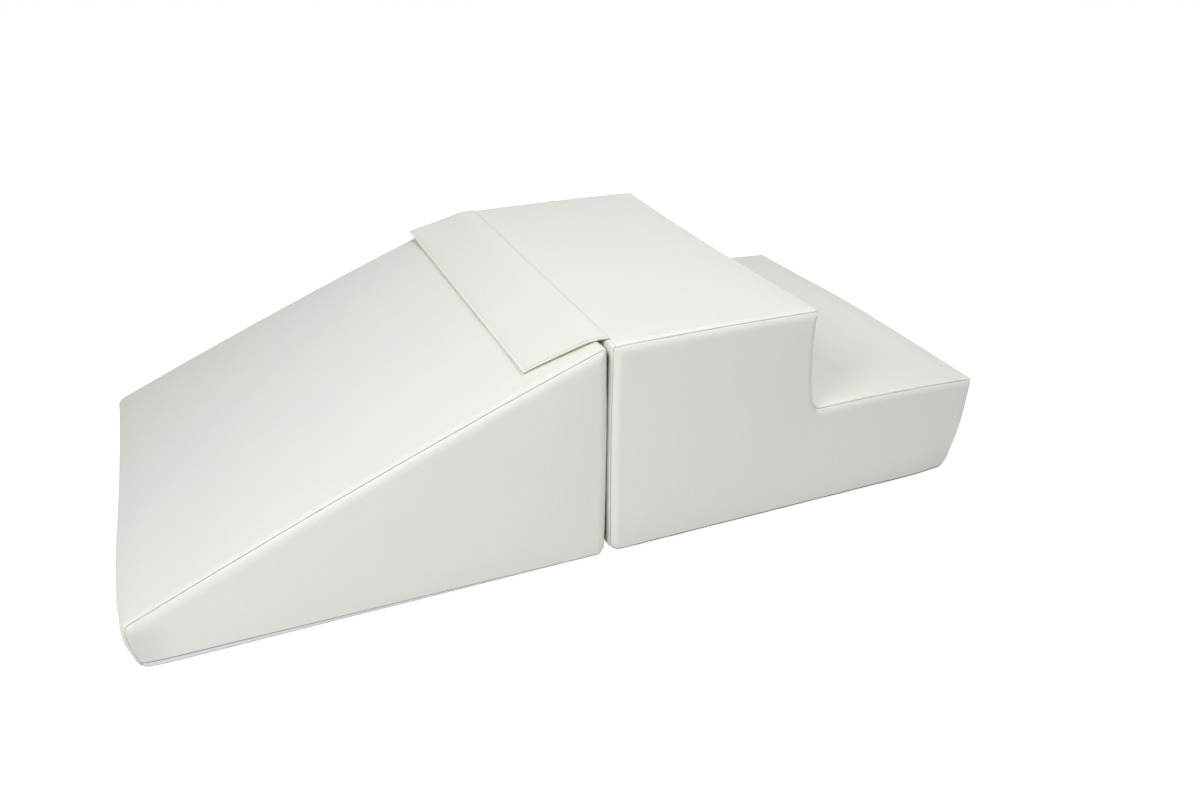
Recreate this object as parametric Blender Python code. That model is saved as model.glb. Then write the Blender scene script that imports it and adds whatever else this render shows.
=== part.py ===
"""Soft play foam climber.

A slide wedge and a two-level step block, each a cut foam core in a sewn and zipped vinyl cover. A flap on
the step block lies over the top of the ramp and holds the blocks together with hook-and-loop tape.
Metres, +Z up. X runs along the climber with the toe of the slide at -X and the low step at +X. The origin
is on the floor, midway along the length and the width.
"""

import math
from collections import namedtuple
from enum import IntEnum

import bmesh
import bpy
from mathutils import Vector

# Sizes of the two blocks, to the seams
BLOCK_WIDTH = 0.600
BLOCK_GAP = 0.004
SLIDE_LENGTH = 0.580
SLIDE_HEIGHT = 0.301
TOE_HEIGHT = 0.061
TOE_LEAN = 0.008
STEP_LENGTH = 0.580
STEP_TOP_LENGTH = 0.293
STEP_TOP_DROP = 0.001
TREAD_HEIGHT = 0.154
FLAP_SEAM_DROP = 0.001
TREAD_FRONT_DROP = 0.006
RISER_LEAN = 0.010
FRONT_LEAN = 0.012

# Roundness of the foam, in the side view and across the long edges
TOE_RADIUS = 0.010
RIDGE_RADIUS = 0.008
STEP_CORNER_RADIUS = 0.006
INNER_CORNER_RADIUS = 0.012
BASE_CORNER_RADIUS = 0.014
LEAST_RADIUS = 0.0008
EDGE_SOFTNESS = 0.015
BASE_SOFTNESS = 0.009
THIN_WALL_SHARE = 0.4

# How far each face swells past the line between its seams: at the side seams and midway along the width
RAMP_CROWN_AT_SEAM = 0.005
RAMP_CROWN = 0.008
TOE_CROWN = 0.002
BACK_CROWN = 0.0015
STEP_TOP_CROWN_AT_SEAM = 0.0015
STEP_TOP_CROWN = 0.0035
RISER_HOLLOW_AT_SEAM = 0.0035
RISER_HOLLOW = 0.0015
TREAD_CROWN_AT_SEAM = 0.0025
TREAD_CROWN = 0.005
FRONT_CROWN = 0.002
SIDE_CROWN = 0.003

# Sewn covers
SKIN = 0.0012
FIT_GAP = 0.0003
SEAM_GAP = 0.0004
SEAM_PINCH = 0.001
SEAM_ANGLE = math.radians(55)

# Flap and its hook-and-loop tape
FLAP_REACH = 0.090
FLAP_NEAR_INSET = 0.027
FLAP_FAR_INSET = 0.017
FLAP_SKEW = 0.014
FLAP_SKIN = 0.0009
FLAP_CURL = 0.007
FLAP_BEND_REACH = 0.016
FLAP_ROOT_PULL = 0.012
FLAP_BEND_PULL = 0.014
FLAP_TIP_SAG = 0.0006
TAPE_THICKNESS = 0.0009
TAPE_FROM_RIDGE = 0.020
TAPE_WIDTH = 0.050
TAPE_END_INSET = 0.022

# Zip under each block
ZIP_END_MARGIN = 0.045
ZIP_FADE = 0.012
WINDOW_MARGIN = 0.001
CHANNEL_HALF_WIDTH = 0.018
HEM_START = 0.009
HEM_EDGE = 0.0056
HEM_LIFT = 0.004
CLOSED_HEM_START = 0.006
ZIP_TAPE_WIDTH = 0.0135
ZIP_TAPE_THICKNESS = 0.0006
ZIP_TAPE_TAIL = 0.010
ZIP_CENTRE_GAP = 0.0017
COIL_WIDTH = 0.0025
COIL_HEIGHT = 0.0017
STOP_LENGTH = 0.003
STOP_WIDTH = 0.0034
STOP_CLEARANCE = 0.0005
SLIDER_LENGTH = 0.011
SLIDER_WIDTH = 0.0092
SLIDER_WALL = 0.001
SLIDER_RAIL = 0.0007
SLIDER_POST_WIDTH = 0.0009
SLIDER_POST_LENGTH = 0.003
SLIDER_NOSE_SHARE = 0.6
LUG_LENGTH = 0.006
LUG_WIDTH = 0.0022
LUG_HEIGHT = 0.0014
LUG_BAR = 0.0007
RECESS_CLEARANCE = 0.0005
RECESS_HALF_WIDTH = 0.022

# Facets
CORNER_STEPS = 3
BASE_CORNER_STEPS = 5
BASE_SEAM_STEP = 3
COIL_SIDES = 8
BEND_STEPS = 5
SIDE_PANEL_ANGLES = (0.0, math.radians(20), math.radians(40))
WRAP_ANGLES = (math.radians(70), math.radians(90))
SIDE_RING_SHARES = (0.35, 0.7)
RAMP_SHARES = (0.08, 0.25, 0.5, 0.75, 0.92)
TOP_SHARES = (0.2, 0.5, 0.8)
RISER_SHARES = (0.25, 0.6)
WALL_SHARES = (0.5,)
WIDTH_SHARES = (-0.6, -0.2, 0.2, 0.6)
FLAP_WIDTH_SHARES = (0.0, 0.15, 0.35, 0.6, 0.8, 0.9, 1.0)
FLAP_TIP_STEPS = 2
CURL_START_SHARE = 0.8
TAPE_WIDTH_SHARES = (0.0, 0.25, 0.5, 0.75, 1.0)
TAPE_LENGTH_SHARES = (0.0, 0.5, 1.0)
SHARP_ANGLE = math.radians(50)

# Where the side panels swell from, as shares of each block's length and height
SLIDE_HEART_SHARES = (0.68, 0.36)
STEP_HEART_SHARES = (0.24, 0.28)

# Colours
WHITE_VINYL = (0.80, 0.80, 0.77)
BASE_FABRIC = (0.62, 0.63, 0.65)
FOAM = (0.86, 0.84, 0.74)
ZIP_WHITE = (0.74, 0.74, 0.72)
HOOK_WHITE = (0.70, 0.70, 0.66)


class Corner(IntEnum):
    """Corners that seams and the flap refer to, counted anticlockwise along a block's outline."""

    BASE_START = 0
    BASE_END = 1
    RIDGE = 2
    TOE_TOP = 3
    FLAP_SEAM = 5


Edge = namedtuple("Edge", "start radius steps softness seam_crown crown shares")
Finish = namedtuple("Finish", "color roughness metallic")
VINYL = Finish(WHITE_VINYL, 0.45, 0.0)
GRIP = Finish(BASE_FABRIC, 0.85, 0.0)
CORE = Finish(FOAM, 0.95, 0.0)
ZIP_CLOTH = Finish(ZIP_WHITE, 0.85, 0.0)
ZIP_NYLON = Finish(ZIP_WHITE, 0.4, 0.0)
FLEECE = Finish(HOOK_WHITE, 0.95, 0.0)

STEP_HEIGHT = SLIDE_HEIGHT - STEP_TOP_DROP
JOINT_X = (SLIDE_LENGTH - STEP_LENGTH) / 2
HALF_SIDE = BLOCK_WIDTH / 2 - SIDE_CROWN
FLAT_HALF_WIDTH = HALF_SIDE - EDGE_SOFTNESS
CORE_DEPTH = SKIN + FIT_GAP
SEAM_HALF_ANGLE = SEAM_GAP / (2 * (EDGE_SOFTNESS - SKIN))
BASE_END_STEP = BASE_CORNER_STEPS - BASE_SEAM_STEP


def clear_scene():
    for item in list(bpy.data.objects):
        bpy.data.objects.remove(item, do_unlink=True)


def limited(softness, wall):
    """A softness that a thin wall still has room for."""
    return min(softness, wall * THIN_WALL_SHARE)


def turned(vector, angle):
    cosine = math.cos(angle)
    sine = math.sin(angle)
    return Vector((vector.x * cosine - vector.y * sine, vector.x * sine + vector.y * cosine))


def outward(direction):
    """The outward normal of an edge of an outline that runs anticlockwise."""
    return Vector((direction.y, -direction.x))


class Block:
    """One foam block: its side outline, anticlockwise from the base edge, and its zip's reach along X."""

    def __init__(self, edges, heart, zip_start, zip_end):
        self.edges = edges
        self.heart = Vector(heart)
        self.zip_start = zip_start
        self.zip_end = zip_end
        self.directions = []
        for index, edge in enumerate(edges):
            following = edges[(index + 1) % len(edges)]
            self.directions.append((Vector(following.start) - Vector(edge.start)).normalized())
        self.window_start = zip_start - STOP_LENGTH - WINDOW_MARGIN
        self.window_end = zip_end + STOP_LENGTH + WINDOW_MARGIN
        self.base_marks = (
            self.window_start - ZIP_FADE,
            self.window_start,
            self.window_end,
            self.window_end + ZIP_FADE,
        )

    def sharp_corner(self, index, insets):
        """Where the two edges that meet at a corner cross once each is moved in by its inset."""
        before = -outward(self.directions[index - 1])
        after = -outward(self.directions[index])
        turn = before.dot(after)
        spread = 1 - turn * turn
        move_before = (insets[index - 1] - turn * insets[index]) / spread
        move_after = (insets[index] - turn * insets[index - 1]) / spread
        return Vector(self.edges[index].start) + before * move_before + after * move_after

    def corner_arc(self, index, insets):
        edge = self.edges[index]
        arriving = self.directions[index - 1]
        leaving = self.directions[index]
        turn = arriving.angle_signed(leaving) * -1
        inset = (insets[index - 1] + insets[index]) / 2
        is_convex = turn > 0
        if is_convex:
            radius = max(edge.radius - inset, LEAST_RADIUS)
            spoke = outward(arriving) * radius
        else:
            radius = edge.radius + inset
            spoke = outward(arriving) * -radius
        back = radius * math.tan(abs(turn) / 2)
        centre = self.sharp_corner(index, insets) - arriving * back - spoke
        return [centre + turned(spoke, turn * step / edge.steps) for step in range(edge.steps + 1)]

    def outline(self, insets, width_share):
        """Points of each corner and each edge in turn: the pieces of one closed outline."""
        arcs = [self.corner_arc(index, insets) for index in range(len(self.edges))]
        pieces = []
        for index, edge in enumerate(self.edges):
            start = arcs[index][-1]
            end = arcs[(index + 1) % len(arcs)][0]
            normal = outward(self.directions[index])
            crown = edge.seam_crown + (edge.crown - edge.seam_crown) * (1 - width_share ** 2)
            inner = []
            if index == Corner.BASE_START:
                inner = [Vector((mark, start.y)) for mark in self.base_marks]
            for share in edge.shares:
                swell = crown * 4 * share * (1 - share)
                inner.append(start.lerp(end, share) + normal * swell)
            pieces.append((arcs[index], inner))
        return pieces

    def softness(self):
        return [edge.softness for edge in self.edges]

    def edge_outline(self, angle, depth, pinch):
        """The outline on the rounding of a long edge: 0 at the block's side, a right angle at its faces."""
        insets = [soft - (soft - depth - pinch) * math.sin(angle) for soft in self.softness()]
        return self.outline(insets, 1.0)

    def face_outline(self, depth, y, lift=0.0):
        insets = [depth for edge in self.edges]
        insets[Corner.BASE_START] += lift
        return self.outline(insets, y / FLAT_HALF_WIDTH)


def edge_y(side, angle, depth, pinch):
    reach = EDGE_SOFTNESS - depth - pinch
    return side * (FLAT_HALF_WIDTH + reach * math.cos(angle))


def closed_ring(pieces, y):
    """Every point of an outline, as a ring at width y."""
    ring = []
    for arc, inner in pieces:
        ring += arc + inner
    return [Vector((point.x, y, point.y)) for point in ring]


def shortened(points, trim):
    """A strip's points, with both ends drawn back to leave the seam's gap."""
    points = list(points)
    points[0] = points[0] + (points[1] - points[0]).normalized() * trim
    points[-1] = points[-1] + (points[-2] - points[-1]).normalized() * trim
    return points


def strip_points(pieces, first, last, y):
    """Points from one (corner, step) of the outline to another, as a strip at width y."""
    start_corner, start_step = first
    end_corner, end_step = last
    points = pieces[start_corner][0][start_step:] + pieces[start_corner][1]
    corner = (start_corner + 1) % len(pieces)
    while corner != end_corner:
        points += pieces[corner][0] + pieces[corner][1]
        corner = (corner + 1) % len(pieces)
    points += pieces[end_corner][0][:end_step + 1]
    return [Vector((point.x, y, point.y)) for point in shortened(points, SEAM_GAP / 2)]


def finish_mesh(bm, name):
    bmesh.ops.recalc_face_normals(bm, faces=bm.faces)
    mesh = bpy.data.meshes.new(name)
    bm.to_mesh(mesh)
    bm.free()
    return mesh


def add_grid(bm, rows, close_rows=False):
    """A surface through rows of points. Returns its vertices, row by row."""
    verts = [[bm.verts.new(point) for point in row] for row in rows]
    count = len(rows[0])
    spans = count if close_rows else count - 1
    for upper, lower in zip(verts, verts[1:]):
        for index in range(spans):
            following = (index + 1) % count
            bm.faces.new((upper[index], upper[following], lower[following], lower[index]))
    return verts


def sheet_mesh(name, outer_rows, inner_rows):
    """A sheet of even thickness between two grids of the same size."""
    bm = bmesh.new()
    outer = add_grid(bm, outer_rows)
    inner = add_grid(bm, inner_rows)
    for rim in (0, -1):
        upper = outer[rim]
        lower = inner[rim]
        for index in range(len(upper) - 1):
            bm.faces.new((upper[index], upper[index + 1], lower[index + 1], lower[index]))
    for row in range(len(outer) - 1):
        for rim in (0, -1):
            bm.faces.new((outer[row][rim], outer[row + 1][rim], inner[row + 1][rim], inner[row][rim]))
    return finish_mesh(bm, name)


def dish_mesh(name, outer_rings, inner_rings):
    """A dished panel between two stacks of rings, each closed over its last ring."""
    bm = bmesh.new()
    outer = add_grid(bm, outer_rings, close_rows=True)
    inner = add_grid(bm, inner_rings, close_rows=True)
    bm.faces.new(outer[-1])
    bm.faces.new(inner[-1])
    count = len(outer[0])
    for index in range(count):
        following = (index + 1) % count
        bm.faces.new((outer[0][index], outer[0][following], inner[0][following], inner[0][index]))
    return finish_mesh(bm, name)


def loft_mesh(name, rings):
    """A solid through a stack of rings, closed at both ends."""
    bm = bmesh.new()
    verts = add_grid(bm, rings, close_rows=True)
    bm.faces.new(verts[0])
    bm.faces.new(verts[-1])
    return finish_mesh(bm, name)


def prism_mesh(name, outline, shift):
    """A flat outline of 3-D points pushed along a vector."""
    return loft_mesh(name, [outline, [point + shift for point in outline]])


def box_outline(x_low, x_high, y_low, y_high, z):
    return [
        Vector((x_low, y_low, z)),
        Vector((x_high, y_low, z)),
        Vector((x_high, y_high, z)),
        Vector((x_low, y_high, z)),
    ]


def box_mesh(name, x_low, x_high, y_low, y_high, z_low, z_high):
    outline = box_outline(x_low, x_high, y_low, y_high, z_low)
    return prism_mesh(name, outline, Vector((0, 0, z_high - z_low)))


def make_material(name, finish):
    material = bpy.data.materials.new(name)
    material.use_nodes = True
    shader = material.node_tree.nodes["Principled BSDF"]
    shader.inputs["Base Color"].default_value = (*finish.color, 1.0)
    shader.inputs["Roughness"].default_value = finish.roughness
    shader.inputs["Metallic"].default_value = finish.metallic
    return material


def add_empty(name, place, parent=None):
    empty = bpy.data.objects.new(name, None)
    bpy.context.collection.objects.link(empty)
    empty.empty_display_size = EDGE_SOFTNESS
    empty.location = place
    if parent is not None:
        empty.parent = parent
        empty.location = Vector(place) - parent_place(parent)
    return empty


def parent_place(item):
    place = Vector(item.location)
    while item.parent is not None:
        item = item.parent
        place += Vector(item.location)
    return place


def add_piece(name, mesh, finish, parent, origin=None, smooth=True):
    """An object for a mesh made in world coordinates, with its origin where the piece is held."""
    place = parent_place(parent)
    origin = place if origin is None else Vector(origin)
    for vertex in mesh.vertices:
        vertex.co -= origin
    if smooth:
        mesh.shade_smooth()
        mesh.set_sharp_from_angle(angle=SHARP_ANGLE)
    mesh.materials.append(make_material(name, finish))
    piece = bpy.data.objects.new(name, mesh)
    bpy.context.collection.objects.link(piece)
    piece.parent = parent
    piece.location = origin - place
    return piece


def side_rings(block, side, depth, angles, pinched_angle):
    """Rings of a side panel's surface, from its seam round the edge to the middle of the side."""
    pieces = block.edge_outline(pinched_angle, depth, SEAM_PINCH)
    rings = [closed_ring(pieces, edge_y(side, pinched_angle, depth, SEAM_PINCH))]
    for angle in reversed(angles):
        pieces = block.edge_outline(angle, depth, 0.0)
        rings.append(closed_ring(pieces, edge_y(side, angle, depth, 0.0)))
    rim = rings[-1]
    for share in SIDE_RING_SHARES:
        swell = side * SIDE_CROWN * (1 - (1 - share) ** 2)
        ring = []
        for point in rim:
            x = point.x + (block.heart.x - point.x) * share
            z = point.z + (block.heart.y - point.z) * share
            ring.append(Vector((x, point.y + swell, z)))
        rings.append(ring)
    return rings


def make_side_panel(name, block, side, parent):
    angle = SEAM_ANGLE - SEAM_HALF_ANGLE
    outer = side_rings(block, side, 0.0, SIDE_PANEL_ANGLES, angle)
    inner = side_rings(block, side, SKIN, SIDE_PANEL_ANGLES, angle)
    return add_piece(name, dish_mesh(name, outer, inner), VINYL, parent)


def wrap_rows(block, depth, first, last):
    """Rows of a wrapped panel's surface, from its near side seam to its far one."""
    rows = []
    seam = SEAM_ANGLE + SEAM_HALF_ANGLE
    near = []
    far = []
    for angle, pinch in ((seam, SEAM_PINCH), *((angle, 0.0) for angle in WRAP_ANGLES)):
        pieces = block.edge_outline(angle, depth, pinch)
        near.append(strip_points(pieces, first, last, edge_y(-1, angle, depth, pinch)))
        far.append(strip_points(pieces, first, last, edge_y(1, angle, depth, pinch)))
    rows += near
    for share in WIDTH_SHARES:
        y = share * FLAT_HALF_WIDTH
        rows.append(strip_points(block.face_outline(depth, y), first, last, y))
    rows += reversed(far)
    return rows


def make_wrap(name, block, first, last, parent):
    mesh = sheet_mesh(name, wrap_rows(block, 0.0, first, last), wrap_rows(block, SKIN, first, last))
    return add_piece(name, mesh, VINYL, parent)


def make_core(name, block, parent):
    """The foam: rings across the width, with a shallow channel under the zip."""
    depth = CORE_DEPTH
    angles = (SIDE_PANEL_ANGLES[0], SIDE_PANEL_ANGLES[-1])
    near = list(reversed(side_rings(block, -1, depth, angles, SEAM_ANGLE)))
    far = side_rings(block, 1, depth, angles, SEAM_ANGLE)
    middle = []
    low_shares = [share for share in WIDTH_SHARES if abs(share) * FLAT_HALF_WIDTH > RECESS_HALF_WIDTH]
    stations = [(-1.0 * FLAT_HALF_WIDTH, 0.0)]
    stations += [(share * FLAT_HALF_WIDTH, 0.0) for share in low_shares if share < 0]
    stations += [(-RECESS_HALF_WIDTH, 0.0), (-RECESS_HALF_WIDTH, RECESS_LIFT)]
    stations += [(RECESS_HALF_WIDTH, RECESS_LIFT), (RECESS_HALF_WIDTH, 0.0)]
    stations += [(share * FLAT_HALF_WIDTH, 0.0) for share in low_shares if share > 0]
    stations += [(FLAT_HALF_WIDTH, 0.0)]
    for y, lift in stations:
        middle.append(closed_ring(block.face_outline(depth, y, lift), y))
    return add_piece(name, loft_mesh(name, near + middle + far), CORE, parent)


def base_strip(block, pieces, y):
    return strip_points(pieces, (Corner.BASE_START, BASE_SEAM_STEP), (Corner.BASE_END, BASE_END_STEP), y)


def base_rows(block, side, depth):
    """Rows of half of the base panel, from its side seam in to the shallow channel that the zip lies in."""
    seam = SEAM_ANGLE + SEAM_HALF_ANGLE
    rows = []
    for angle, pinch in ((seam, SEAM_PINCH), *((angle, 0.0) for angle in WRAP_ANGLES)):
        pieces = block.edge_outline(angle, depth, pinch)
        rows.append(base_strip(block, pieces, edge_y(side, angle, depth, pinch)))
    channel = ((CHANNEL_HALF_WIDTH, CHANNEL_HALF_WIDTH, 0.0), (HEM_START, CLOSED_HEM_START, HEM_LIFT))
    channel += ((HEM_EDGE, SEAM_GAP / 2, HEM_LIFT),)
    for open_y, closed_y, lift in channel:
        row = base_strip(block, block.face_outline(depth, 0.0), 0.0)
        for point in row:
            over_zip = block.window_start - ZIP_FADE / 2 < point.x < block.window_end + ZIP_FADE / 2
            point.y = side * (open_y if over_zip else closed_y)
            point.z += lift if over_zip else 0.0
        rows.append(row)
    return rows


def make_base_half(name, block, side, parent):
    mesh = sheet_mesh(name, base_rows(block, side, 0.0), base_rows(block, side, SKIN))
    return add_piece(name, mesh, GRIP, parent)


# Heights of the zip's layers over the floor
TAPE_LOW = HEM_LIFT + SKIN + FIT_GAP
TAPE_HIGH = TAPE_LOW + ZIP_TAPE_THICKNESS
COIL_HIGH = TAPE_LOW - FIT_GAP
COIL_LOW = COIL_HIGH - COIL_HEIGHT
PLATE_HIGH = COIL_LOW - FIT_GAP
PLATE_LOW = PLATE_HIGH - SLIDER_WALL
LUG_LOW = PLATE_LOW - LUG_HEIGHT
UPPER_PLATE_LOW = TAPE_HIGH + FIT_GAP
UPPER_PLATE_HIGH = UPPER_PLATE_LOW + SLIDER_WALL
RECESS_LIFT = UPPER_PLATE_HIGH + RECESS_CLEARANCE - CORE_DEPTH


def make_zip_tape(name, block, side, parent):
    inner = side * ZIP_CENTRE_GAP / 2
    outer = side * (ZIP_CENTRE_GAP / 2 + ZIP_TAPE_WIDTH)
    start = block.zip_start - ZIP_TAPE_TAIL
    end = block.zip_end + ZIP_TAPE_TAIL
    mesh = box_mesh(name, start, end, min(inner, outer), max(inner, outer), TAPE_LOW, TAPE_HIGH)
    return add_piece(name, mesh, ZIP_CLOTH, parent, smooth=False)


def make_zip_coil(name, block, side, parent):
    centre_y = side * (ZIP_CENTRE_GAP + COIL_WIDTH) / 2
    centre_z = (COIL_LOW + COIL_HIGH) / 2
    ring = []
    for index in range(COIL_SIDES):
        angle = math.tau * (index + 0.5) / COIL_SIDES
        y = centre_y + COIL_WIDTH / 2 * math.cos(angle) / math.cos(math.pi / COIL_SIDES)
        z = centre_z + COIL_HEIGHT / 2 * math.sin(angle) / math.cos(math.pi / COIL_SIDES)
        ring.append(Vector((block.zip_start, y, z)))
    mesh = prism_mesh(name, ring, Vector((block.zip_end - block.zip_start, 0, 0)))
    return add_piece(name, mesh, ZIP_NYLON, parent)


def make_zip_stops(prefix, block, parent):
    """A stop across both coils at the open end, and one on each tape at the closed end."""
    low = block.zip_start - FIT_GAP - STOP_LENGTH
    half = ZIP_CENTRE_GAP / 2 + STOP_WIDTH
    mesh = box_mesh("stop", low, low + STOP_LENGTH, -half, half, COIL_LOW, COIL_HIGH)
    add_piece(f"{prefix}_zip_bottom_stop", mesh, ZIP_NYLON, parent, smooth=False)
    low = block.zip_end + FIT_GAP
    for side, word in ((-1, "near"), (1, "far")):
        inner = side * ZIP_CENTRE_GAP / 2
        outer = side * half
        y_low = min(inner, outer)
        y_high = max(inner, outer)
        mesh = box_mesh("stop", low, low + STOP_LENGTH, y_low, y_high, COIL_LOW, COIL_HIGH)
        add_piece(f"{prefix}_zip_top_stop_{word}", mesh, ZIP_NYLON, parent, smooth=False)


def slider_channel_mesh(front, rear):
    """The slider's lower half: a plate with a rail on each side that keeps the coils in."""
    half = SLIDER_WIDTH / 2
    rail_top = COIL_HIGH - FIT_GAP
    profile = [
        Vector((rear, -half, PLATE_LOW)),
        Vector((rear, half, PLATE_LOW)),
        Vector((rear, half, rail_top)),
        Vector((rear, half - SLIDER_RAIL, rail_top)),
        Vector((rear, half - SLIDER_RAIL, PLATE_HIGH)),
        Vector((rear, -half + SLIDER_RAIL, PLATE_HIGH)),
        Vector((rear, -half + SLIDER_RAIL, rail_top)),
        Vector((rear, -half, rail_top)),
    ]
    return prism_mesh("slider_channel", profile, Vector((front - rear, 0, 0)))


def slider_top_mesh(front, rear):
    """The slider's upper plate, a shield that narrows behind."""
    half = SLIDER_WIDTH / 2
    waist = rear + (front - rear) * SLIDER_NOSE_SHARE
    outline = [
        Vector((rear, -half * SLIDER_NOSE_SHARE, UPPER_PLATE_LOW)),
        Vector((waist, -half, UPPER_PLATE_LOW)),
        Vector((front, -half * SLIDER_NOSE_SHARE, UPPER_PLATE_LOW)),
        Vector((front, half * SLIDER_NOSE_SHARE, UPPER_PLATE_LOW)),
        Vector((waist, half, UPPER_PLATE_LOW)),
        Vector((rear, half * SLIDER_NOSE_SHARE, UPPER_PLATE_LOW)),
    ]
    return prism_mesh("slider_top", outline, Vector((0, 0, SLIDER_WALL)))


def slider_lug_mesh(front, rear):
    """The low bridge that takes a hook in place of a pull tab."""
    middle = (front + rear) / 2
    low = middle - LUG_LENGTH / 2
    high = middle + LUG_LENGTH / 2
    foot = PLATE_LOW + SLIDER_WALL / 2
    y = -LUG_WIDTH / 2
    profile = [
        Vector((low, y, foot)),
        Vector((low, y, LUG_LOW)),
        Vector((high, y, LUG_LOW)),
        Vector((high, y, foot)),
        Vector((high - LUG_BAR, y, foot)),
        Vector((high - LUG_BAR, y, LUG_LOW + LUG_BAR)),
        Vector((low + LUG_BAR, y, LUG_LOW + LUG_BAR)),
        Vector((low + LUG_BAR, y, foot)),
    ]
    return prism_mesh("slider_lug", profile, Vector((0, LUG_WIDTH, 0)))


def make_zip_slider(name, block, parent):
    front = block.zip_end - STOP_CLEARANCE
    rear = front - SLIDER_LENGTH
    origin = Vector(((front + rear) / 2, 0, (COIL_LOW + COIL_HIGH) / 2))
    slider = add_piece(name, slider_channel_mesh(front, rear), ZIP_NYLON, parent, origin, smooth=False)
    half_post = SLIDER_POST_WIDTH / 2
    post_low = PLATE_LOW + SLIDER_WALL / 2
    post_high = UPPER_PLATE_LOW + SLIDER_WALL / 2
    post_rear = front - SLIDER_POST_LENGTH
    post = box_mesh("slider_post", post_rear, front, -half_post, half_post, post_low, post_high)
    for part in (slider_lug_mesh(front, rear), slider_top_mesh(front, rear), post):
        helper = add_piece(f"{name}_{part.name}", part, ZIP_NYLON, parent, origin, smooth=False)
        helper.hide_render = True
        helper.display_type = "WIRE"
        join = slider.modifiers.new(part.name, "BOOLEAN")
        join.operation = "UNION"
        join.object = helper
    return slider


def make_zip(prefix, block, parent):
    for side, word in ((-1, "near"), (1, "far")):
        make_zip_tape(f"{prefix}_zip_tape_{word}", block, side, parent)
        make_zip_coil(f"{prefix}_zip_coil_{word}", block, side, parent)
    make_zip_stops(prefix, block, parent)
    make_zip_slider(f"{prefix}_zip_slider", block, parent)


def make_covered_block(prefix, block, parent):
    """What both blocks have: the core, the side panels, the base panel's halves and the zip."""
    make_core(f"{prefix}_foam_core", block, parent)
    for side, word in ((-1, "near"), (1, "far")):
        make_side_panel(f"{prefix}_side_panel_{word}", block, side, parent)
        make_base_half(f"{prefix}_base_panel_{word}", block, side, parent)
    make_zip(prefix, block, parent)


def slide_block():
    back = JOINT_X - BLOCK_GAP / 2
    toe = back - SLIDE_LENGTH
    base_soft = limited(BASE_SOFTNESS, TOE_HEIGHT)
    base_radius = limited(BASE_CORNER_RADIUS, TOE_HEIGHT)
    soft = limited(EDGE_SOFTNESS, TOE_HEIGHT)
    edges = [
        Edge((toe + TOE_LEAN, 0), base_radius, BASE_CORNER_STEPS, base_soft, 0, 0, ()),
        Edge((back, 0), base_radius, BASE_CORNER_STEPS, soft, BACK_CROWN, BACK_CROWN, WALL_SHARES),
        Edge((back, SLIDE_HEIGHT), RIDGE_RADIUS, CORNER_STEPS, soft, RAMP_CROWN_AT_SEAM, RAMP_CROWN,
             RAMP_SHARES),
        Edge((toe, TOE_HEIGHT), TOE_RADIUS, CORNER_STEPS, soft, TOE_CROWN, TOE_CROWN, WALL_SHARES),
    ]
    heart = (toe + SLIDE_LENGTH * SLIDE_HEART_SHARES[0], SLIDE_HEIGHT * SLIDE_HEART_SHARES[1])
    return Block(edges, heart, toe + TOE_LEAN + ZIP_END_MARGIN, back - ZIP_END_MARGIN)


def step_block():
    back = JOINT_X + BLOCK_GAP / 2
    front = back + STEP_LENGTH
    riser_top = back + STEP_TOP_LENGTH
    tread_front = TREAD_HEIGHT - TREAD_FRONT_DROP
    base_soft = limited(BASE_SOFTNESS, TREAD_HEIGHT)
    base_radius = limited(BASE_CORNER_RADIUS, TREAD_HEIGHT)
    soft = limited(EDGE_SOFTNESS, TREAD_HEIGHT)
    corner = STEP_CORNER_RADIUS
    edges = [
        Edge((back, 0), base_radius, BASE_CORNER_STEPS, base_soft, 0, 0, ()),
        Edge((front - FRONT_LEAN, 0), base_radius, BASE_CORNER_STEPS, soft, FRONT_CROWN, FRONT_CROWN,
             WALL_SHARES),
        Edge((front, tread_front), corner, CORNER_STEPS, soft, TREAD_CROWN_AT_SEAM, TREAD_CROWN,
             TOP_SHARES),
        Edge((riser_top + RISER_LEAN, TREAD_HEIGHT), INNER_CORNER_RADIUS, CORNER_STEPS, soft,
             -RISER_HOLLOW_AT_SEAM, -RISER_HOLLOW, RISER_SHARES),
        Edge((riser_top, STEP_HEIGHT), corner, CORNER_STEPS, soft, STEP_TOP_CROWN_AT_SEAM, STEP_TOP_CROWN,
             TOP_SHARES),
        Edge((back, STEP_HEIGHT - FLAP_SEAM_DROP), corner, CORNER_STEPS, soft, BACK_CROWN, BACK_CROWN,
             WALL_SHARES),
    ]
    heart = (back + STEP_LENGTH * STEP_HEART_SHARES[0], STEP_HEIGHT * STEP_HEART_SHARES[1])
    return Block(edges, heart, back + ZIP_END_MARGIN, front - FRONT_LEAN - ZIP_END_MARGIN)


class Ramp:
    """Places on the slide's ramp, by distance down from the ridge, width and height over the vinyl."""

    def __init__(self, block):
        insets = [0.0 for edge in block.edges]
        self.top = block.corner_arc(Corner.RIDGE, insets)[-1]
        self.bottom = block.corner_arc(Corner.TOE_TOP, insets)[0]
        self.length = (self.bottom - self.top).length
        self.down = (self.bottom - self.top).normalized()
        self.normal = outward(self.down)

    def point(self, distance, y, lift):
        share = distance / self.length
        width_share = min(abs(y) / FLAT_HALF_WIDTH, 1.0)
        crown = RAMP_CROWN_AT_SEAM + (RAMP_CROWN - RAMP_CROWN_AT_SEAM) * (1 - width_share ** 2)
        height = crown * 4 * share * (1 - share) + lift
        spot = self.top + self.down * distance + self.normal * height
        return Vector((spot.x, y, spot.y))


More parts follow.
